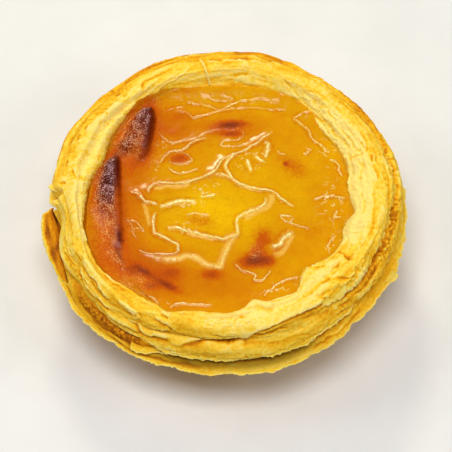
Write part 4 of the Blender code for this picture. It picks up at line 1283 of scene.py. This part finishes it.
class Shader:
    """A material's node tree, with short ways to add nodes."""

    def __init__(self, name):
        self.material = bpy.data.materials.new(name)
        self.material.use_nodes = True
        self.tree = self.material.node_tree
        self.surface = self.tree.nodes["Principled BSDF"]

    def node(self, kind, **values):
        made = self.tree.nodes.new(kind)
        for key, value in values.items():
            if hasattr(made, key):
                setattr(made, key, value)
            else:
                made.inputs[key.replace("_", " ")].default_value = value
        return made

    def link(self, output, target):
        self.tree.links.new(output, target)

    def set(self, **values):
        for key, value in values.items():
            self.surface.inputs[key.replace("_", " ")].default_value = value

    def attribute(self, name):
        return self.node("ShaderNodeAttribute", attribute_name=name).outputs["Fac"]

    def noise(self, scale, detail=3.0, roughness=0.55, vector=None):
        made = self.node("ShaderNodeTexNoise", Scale=scale, Detail=detail, Roughness=roughness)
        self.link(vector or self.place(), made.inputs["Vector"])
        return made.outputs["Fac"]

    def place(self):
        return self.node("ShaderNodeTexCoord").outputs["Object"]

    def layered(self, along, across):
        """Places for noise drawn out along the layers, in cells per metre along them and per mm across."""
        parts = self.node("ShaderNodeSeparateXYZ")
        self.link(self.place(), parts.inputs[0])
        joined = self.node("ShaderNodeCombineXYZ")
        self.link(self.math("MULTIPLY", parts.outputs[0], along), joined.inputs[0])
        self.link(self.math("MULTIPLY", parts.outputs[1], along), joined.inputs[1])
        self.link(self.math("MULTIPLY", self.attribute("layer"), across), joined.inputs[2])
        return joined.outputs[0]

    def math(self, operation, first, second=0.5, third=0.5, clamp=False):
        made = self.node("ShaderNodeMath", operation=operation, use_clamp=clamp)
        for socket, value in zip(made.inputs, (first, second, third)):
            if isinstance(value, (int, float)):
                socket.default_value = value
            else:
                self.link(value, socket)
        return made.outputs[0]

    def ramp(self, factor, stops):
        made = self.node("ShaderNodeValToRGB")
        elements = made.color_ramp.elements
        while len(elements) < len(stops):
            elements.new(0.5)
        for element, (position, colour) in zip(elements, stops):
            element.position = position
            element.color = (*colour, 1)
        self.link(factor, made.inputs["Fac"])
        return made.outputs["Color"]

    def mix(self, factor, first, second):
        made = self.node("ShaderNodeMix", data_type="RGBA")
        self.link(factor, made.inputs["Factor"])
        for socket, value in ((made.inputs[6], first), (made.inputs[7], second)):
            if isinstance(value, tuple):
                socket.default_value = (*value, 1)
            else:
                self.link(value, socket)
        return made.outputs[2]

    def bump(self, height, strength, distance):
        made = self.node("ShaderNodeBump", Strength=strength, Distance=distance)
        self.link(height, made.inputs["Height"])
        self.link(made.outputs["Normal"], self.surface.inputs["Normal"])


PASTRY_TONES = (
    (0.00, (0.10, 0.026, 0.002)),
    (0.16, (0.36, 0.100, 0.002)),
    (0.34, (0.68, 0.260, 0.003)),
    (0.54, (0.86, 0.440, 0.009)),
    (0.76, (0.92, 0.600, 0.050)),
    (1.00, (0.93, 0.710, 0.190)),
)

# Dark olive-brown that the pastry is mixed towards where shade is painted
PAINTED_SHADE_COLOUR = (0.20, 0.115, 0.004)


def pastry_material():
    shader = Shader("baked_pastry")
    tone = shader.attribute("tone")
    fibrous = shader.attribute("fibrous")
    fibre = shader.noise(1.0, 3.0, 0.6, shader.layered(130.0, 1.5))
    fine_fibre = shader.noise(1.0, 2.0, 0.5, shader.layered(330.0, 3.8))
    mottle = shader.noise(520.0, 4.0, 0.6)
    grain = shader.noise(1600.0, 3.0)
    streaks = shader.math("MULTIPLY_ADD", fine_fibre, 0.5, fibre)
    streaks = shader.math("SUBTRACT", streaks, 0.75)
    streaks = shader.math("MULTIPLY", streaks, fibrous)
    speckle = shader.math("MULTIPLY_ADD", mottle, 0.30, -0.40)
    speckle = shader.math("MULTIPLY_ADD", grain, 0.50, speckle)
    contrast = shader.math("MULTIPLY_ADD", tone, 1.5, 0.0, clamp=True)
    varied = shader.math("MULTIPLY_ADD", streaks, 0.38, tone)
    varied = shader.math("MULTIPLY_ADD", speckle, contrast, varied)
    # painted shade: the base colour is mixed towards the dark olive-brown by the painted shade field
    colour = shader.mix(shader.attribute("painted_shade"), shader.ramp(varied, PASTRY_TONES), PAINTED_SHADE_COLOUR)
    shader.link(colour, shader.surface.inputs["Base Color"])
    rough = shader.math("MULTIPLY_ADD", grain, 0.25, 0.50)
    shader.link(rough, shader.surface.inputs["Roughness"])
    relief = shader.math("MULTIPLY_ADD", mottle, 0.5, streaks)
    relief = shader.math("MULTIPLY_ADD", grain, 0.30, relief)
    shader.bump(relief, 0.8, 0.0006)
    shader.set(Subsurface_Weight=0.2, Subsurface_Scale=0.0015, Specular_IOR_Level=0.07)
    shader.surface.inputs["Subsurface Radius"].default_value = (1.0, 0.45, 0.12)
    return shader.material


CUSTARD_TONES = (
    (0.00, (0.45, 0.085, 0.0005)),
    (0.35, (0.60, 0.195, 0.0005)),
    (0.65, (0.67, 0.310, 0.0005)),
    (1.00, (0.80, 0.450, 0.001)),
)
BURN_TONES = (
    (0.00, (0.56, 0.16, 0.001)),
    (0.30, (0.52, 0.088, 0.001)),
    (0.50, (0.33, 0.046, 0.001)),
    (0.75, (0.120, 0.010, 0.001)),
    (1.00, (0.040, 0.004, 0.003)),
)
# Colour of the painted sheen bands
PAINTED_SHEEN_COLOUR = (0.86, 0.54, 0.10)
# Colour of the highlights painted along the custard's lines and flecks
PAINTED_HIGHLIGHT_COLOUR = (1.0, 1.0, 0.45)
# Colours of the glints painted in dots on the burnt ridges, by how burnt the skin is
PAINTED_GLINT_TONES = (
    (0.30, (0.95, 0.52, 0.11)),
    (0.60, (0.92, 0.48, 0.22)),
    (0.85, (0.70, 0.39, 0.40)),
    (0.96, (0.50, 0.28, 0.30)),
)


def custard_material():
    shader = Shader("baked_custard")
    mottle = shader.noise(260.0, 4.0)
    tone = shader.math("MULTIPLY_ADD", mottle, 0.24, shader.attribute("tone"))
    tone = shader.math("SUBTRACT", tone, 0.12)
    colour = shader.ramp(tone, CUSTARD_TONES)
    # painted sheen: soft pale bands beside some lines
    painted_sheen = shader.math("MULTIPLY", shader.attribute("painted_sheen"), 0.6)
    colour = shader.mix(painted_sheen, colour, PAINTED_SHEEN_COLOUR)
    # painted highlight: pale colour along the lines and flecks, which also get more coat
    line = shader.math("MULTIPLY", shader.attribute("painted_highlight"), 0.95, clamp=True)
    colour = shader.mix(line, colour, PAINTED_HIGHLIGHT_COLOUR)
    speckle = shader.noise(2000.0, 3.0)
    raw_burn = shader.attribute("burn")
    burn = shader.math("MULTIPLY_ADD", speckle, 0.36, raw_burn)
    burn = shader.math("SUBTRACT", burn, 0.18, clamp=True)
    share = shader.math("MULTIPLY", burn, 4.0, clamp=True)
    colour = shader.mix(share, colour, shader.ramp(burn, BURN_TONES))
    # painted glints: pale dots where the stipple is
    glint_dots = shader.noise(3500.0, 2.0, 0.5)
    glint_dots = shader.math("MULTIPLY_ADD", shader.noise(700.0, 2.0), 0.5, glint_dots)
    glint_dots = shader.ramp(glint_dots, ((0.74, (0, 0, 0)), (0.86, (1, 1, 1))))
    stipple = shader.attribute("stipple")
    crusty = shader.math("MULTIPLY", raw_burn, 1.3, clamp=True)
    crusty = shader.math("MAXIMUM", crusty, stipple)
    painted_glints = shader.math("MULTIPLY", glint_dots, stipple)
    painted_glints = shader.math("MULTIPLY", painted_glints, 0.70)
    painted_glint_colour = shader.ramp(raw_burn, PAINTED_GLINT_TONES)
    shader.link(shader.mix(painted_glints, colour, painted_glint_colour), shader.surface.inputs["Base Color"])
    rough = shader.math("MULTIPLY_ADD", mottle, 0.08, 0.07)
    rough = shader.math("MULTIPLY_ADD", crusty, 0.34, rough)
    shader.link(rough, shader.surface.inputs["Roughness"])
    glaze = shader.math("MULTIPLY_ADD", crusty, -0.18, 0.20)
    glaze = shader.math("MULTIPLY_ADD", line, 0.5, glaze)
    shader.link(glaze, shader.surface.inputs["Coat Weight"])
    shader.bump(speckle, 0.12, 0.0002)
    shader.set(Subsurface_Weight=0.2, Subsurface_Scale=0.002, Coat_Roughness=0.05, Specular_IOR_Level=0.10)
    shader.surface.inputs["Subsurface Radius"].default_value = (1.0, 0.4, 0.05)
    return shader.material


def floor_material():
    shader = Shader("pale_floor")
    grain = shader.noise(60.0, 3.0)
    colour = shader.ramp(grain, ((0.3, (0.74, 0.73, 0.71)), (0.7, (0.78, 0.77, 0.75))))
    shader.link(colour, shader.surface.inputs["Base Color"])
    shader.set(Roughness=0.7)
    return shader.material


# ---------------------------------------------------------------------------------------------------------
# Camera, light and floor
# ---------------------------------------------------------------------------------------------------------

CAMERA_ELEVATION = 61.0
CAMERA_DISTANCE = 0.42
CAMERA_LENS = 151.8
CAMERA_TARGET = (0.0, 0.0, 0.0114)
FLOOR_HALF = 2000
WORLD_STRENGTH = 0.13
LIGHT_TARGET = (0, 0, 0.015)
WHITE = (1, 1, 1)
# Lights: name, azimuth, elevation, distance and size in metres, power in watts, colour
LIGHTS = (
    ("key", 100, 39, 0.6, (0.12, 0.08), 1.1, (1.0, 0.97, 0.72)),
    ("front", 255, 80, 0.7, (0.35, 0.25), 3.1, WHITE),
    ("left", 170, 42, 0.6, (0.25, 0.20), 0.7, WHITE),
    ("right", 345, 42, 0.6, (0.25, 0.20), 0.75, WHITE),
)


def aim(thing, place, target):
    """Puts a camera or light at a place, looking at the target, with its top side up."""
    away = np.array(place, float) - np.array(target, float)
    away = away / np.linalg.norm(away)
    heading = math.atan2(away[0], -away[1])
    thing.location = place
    thing.rotation_euler = (math.pi / 2 - math.asin(away[2]), 0, heading)


def add_camera():
    data = bpy.data.cameras.new("camera")
    data.lens = CAMERA_LENS
    data.clip_start = 0.01
    camera = bpy.data.objects.new("camera", data)
    elevation = math.radians(CAMERA_ELEVATION)
    offset = np.array([0, -math.cos(elevation), math.sin(elevation)]) * CAMERA_DISTANCE
    aim(camera, np.array(CAMERA_TARGET) + offset, CAMERA_TARGET)
    bpy.context.scene.collection.objects.link(camera)
    bpy.context.scene.camera = camera


def add_light(name, azimuth, elevation, distance, size, power, colour):
    data = bpy.data.lights.new(name, "AREA")
    data.shape = "RECTANGLE"
    data.size, data.size_y = size
    data.energy = power
    data.color = colour
    light = bpy.data.objects.new(name, data)
    turn, rise = math.radians(azimuth), math.radians(elevation)
    level = math.cos(rise)
    place = np.array([math.cos(turn) * level, math.sin(turn) * level, math.sin(rise)]) * distance
    aim(light, place, LIGHT_TARGET)
    bpy.context.scene.collection.objects.link(light)


def add_stage():
    corners = np.array([(-1, -1, 0), (1, -1, 0), (1, 1, 0), (-1, 1, 0)]) * FLOOR_HALF
    floor = add_mesh("floor", corners, [(0, 1, 2, 3)], floor_material())
    floor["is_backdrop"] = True
    world = bpy.data.worlds.new("studio")
    world.use_nodes = True
    background = world.node_tree.nodes["Background"]
    background.inputs["Color"].default_value = (*WHITE, 1)
    background.inputs["Strength"].default_value = WORLD_STRENGTH
    bpy.context.scene.world = world
    for light in LIGHTS:
        add_light(*light)


def main():
    pastry = pastry_material()
    custard = custard_material()
    far_rim, near_rim = build_rim(pastry)
    shell = build_shell(pastry)
    leaves = build_leaves(pastry)
    far_skin, near_skin = build_custard(custard)
    for piece in (far_rim, near_rim, shell, leaves):
        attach(piece, "root")
    for piece in (far_skin, near_skin):
        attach(piece, "root")
    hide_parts("pastry_case")
    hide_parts("custard_filling")
    add_stage()
    add_camera()
    bpy.context.scene.view_settings.view_transform = "Standard"
    visual_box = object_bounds()
    boxes = {"cad": cad_box, "visual": visual_box}
    boxes = {name: [[float(value) for value in corner] for corner in box] for name, box in boxes.items()}


main()
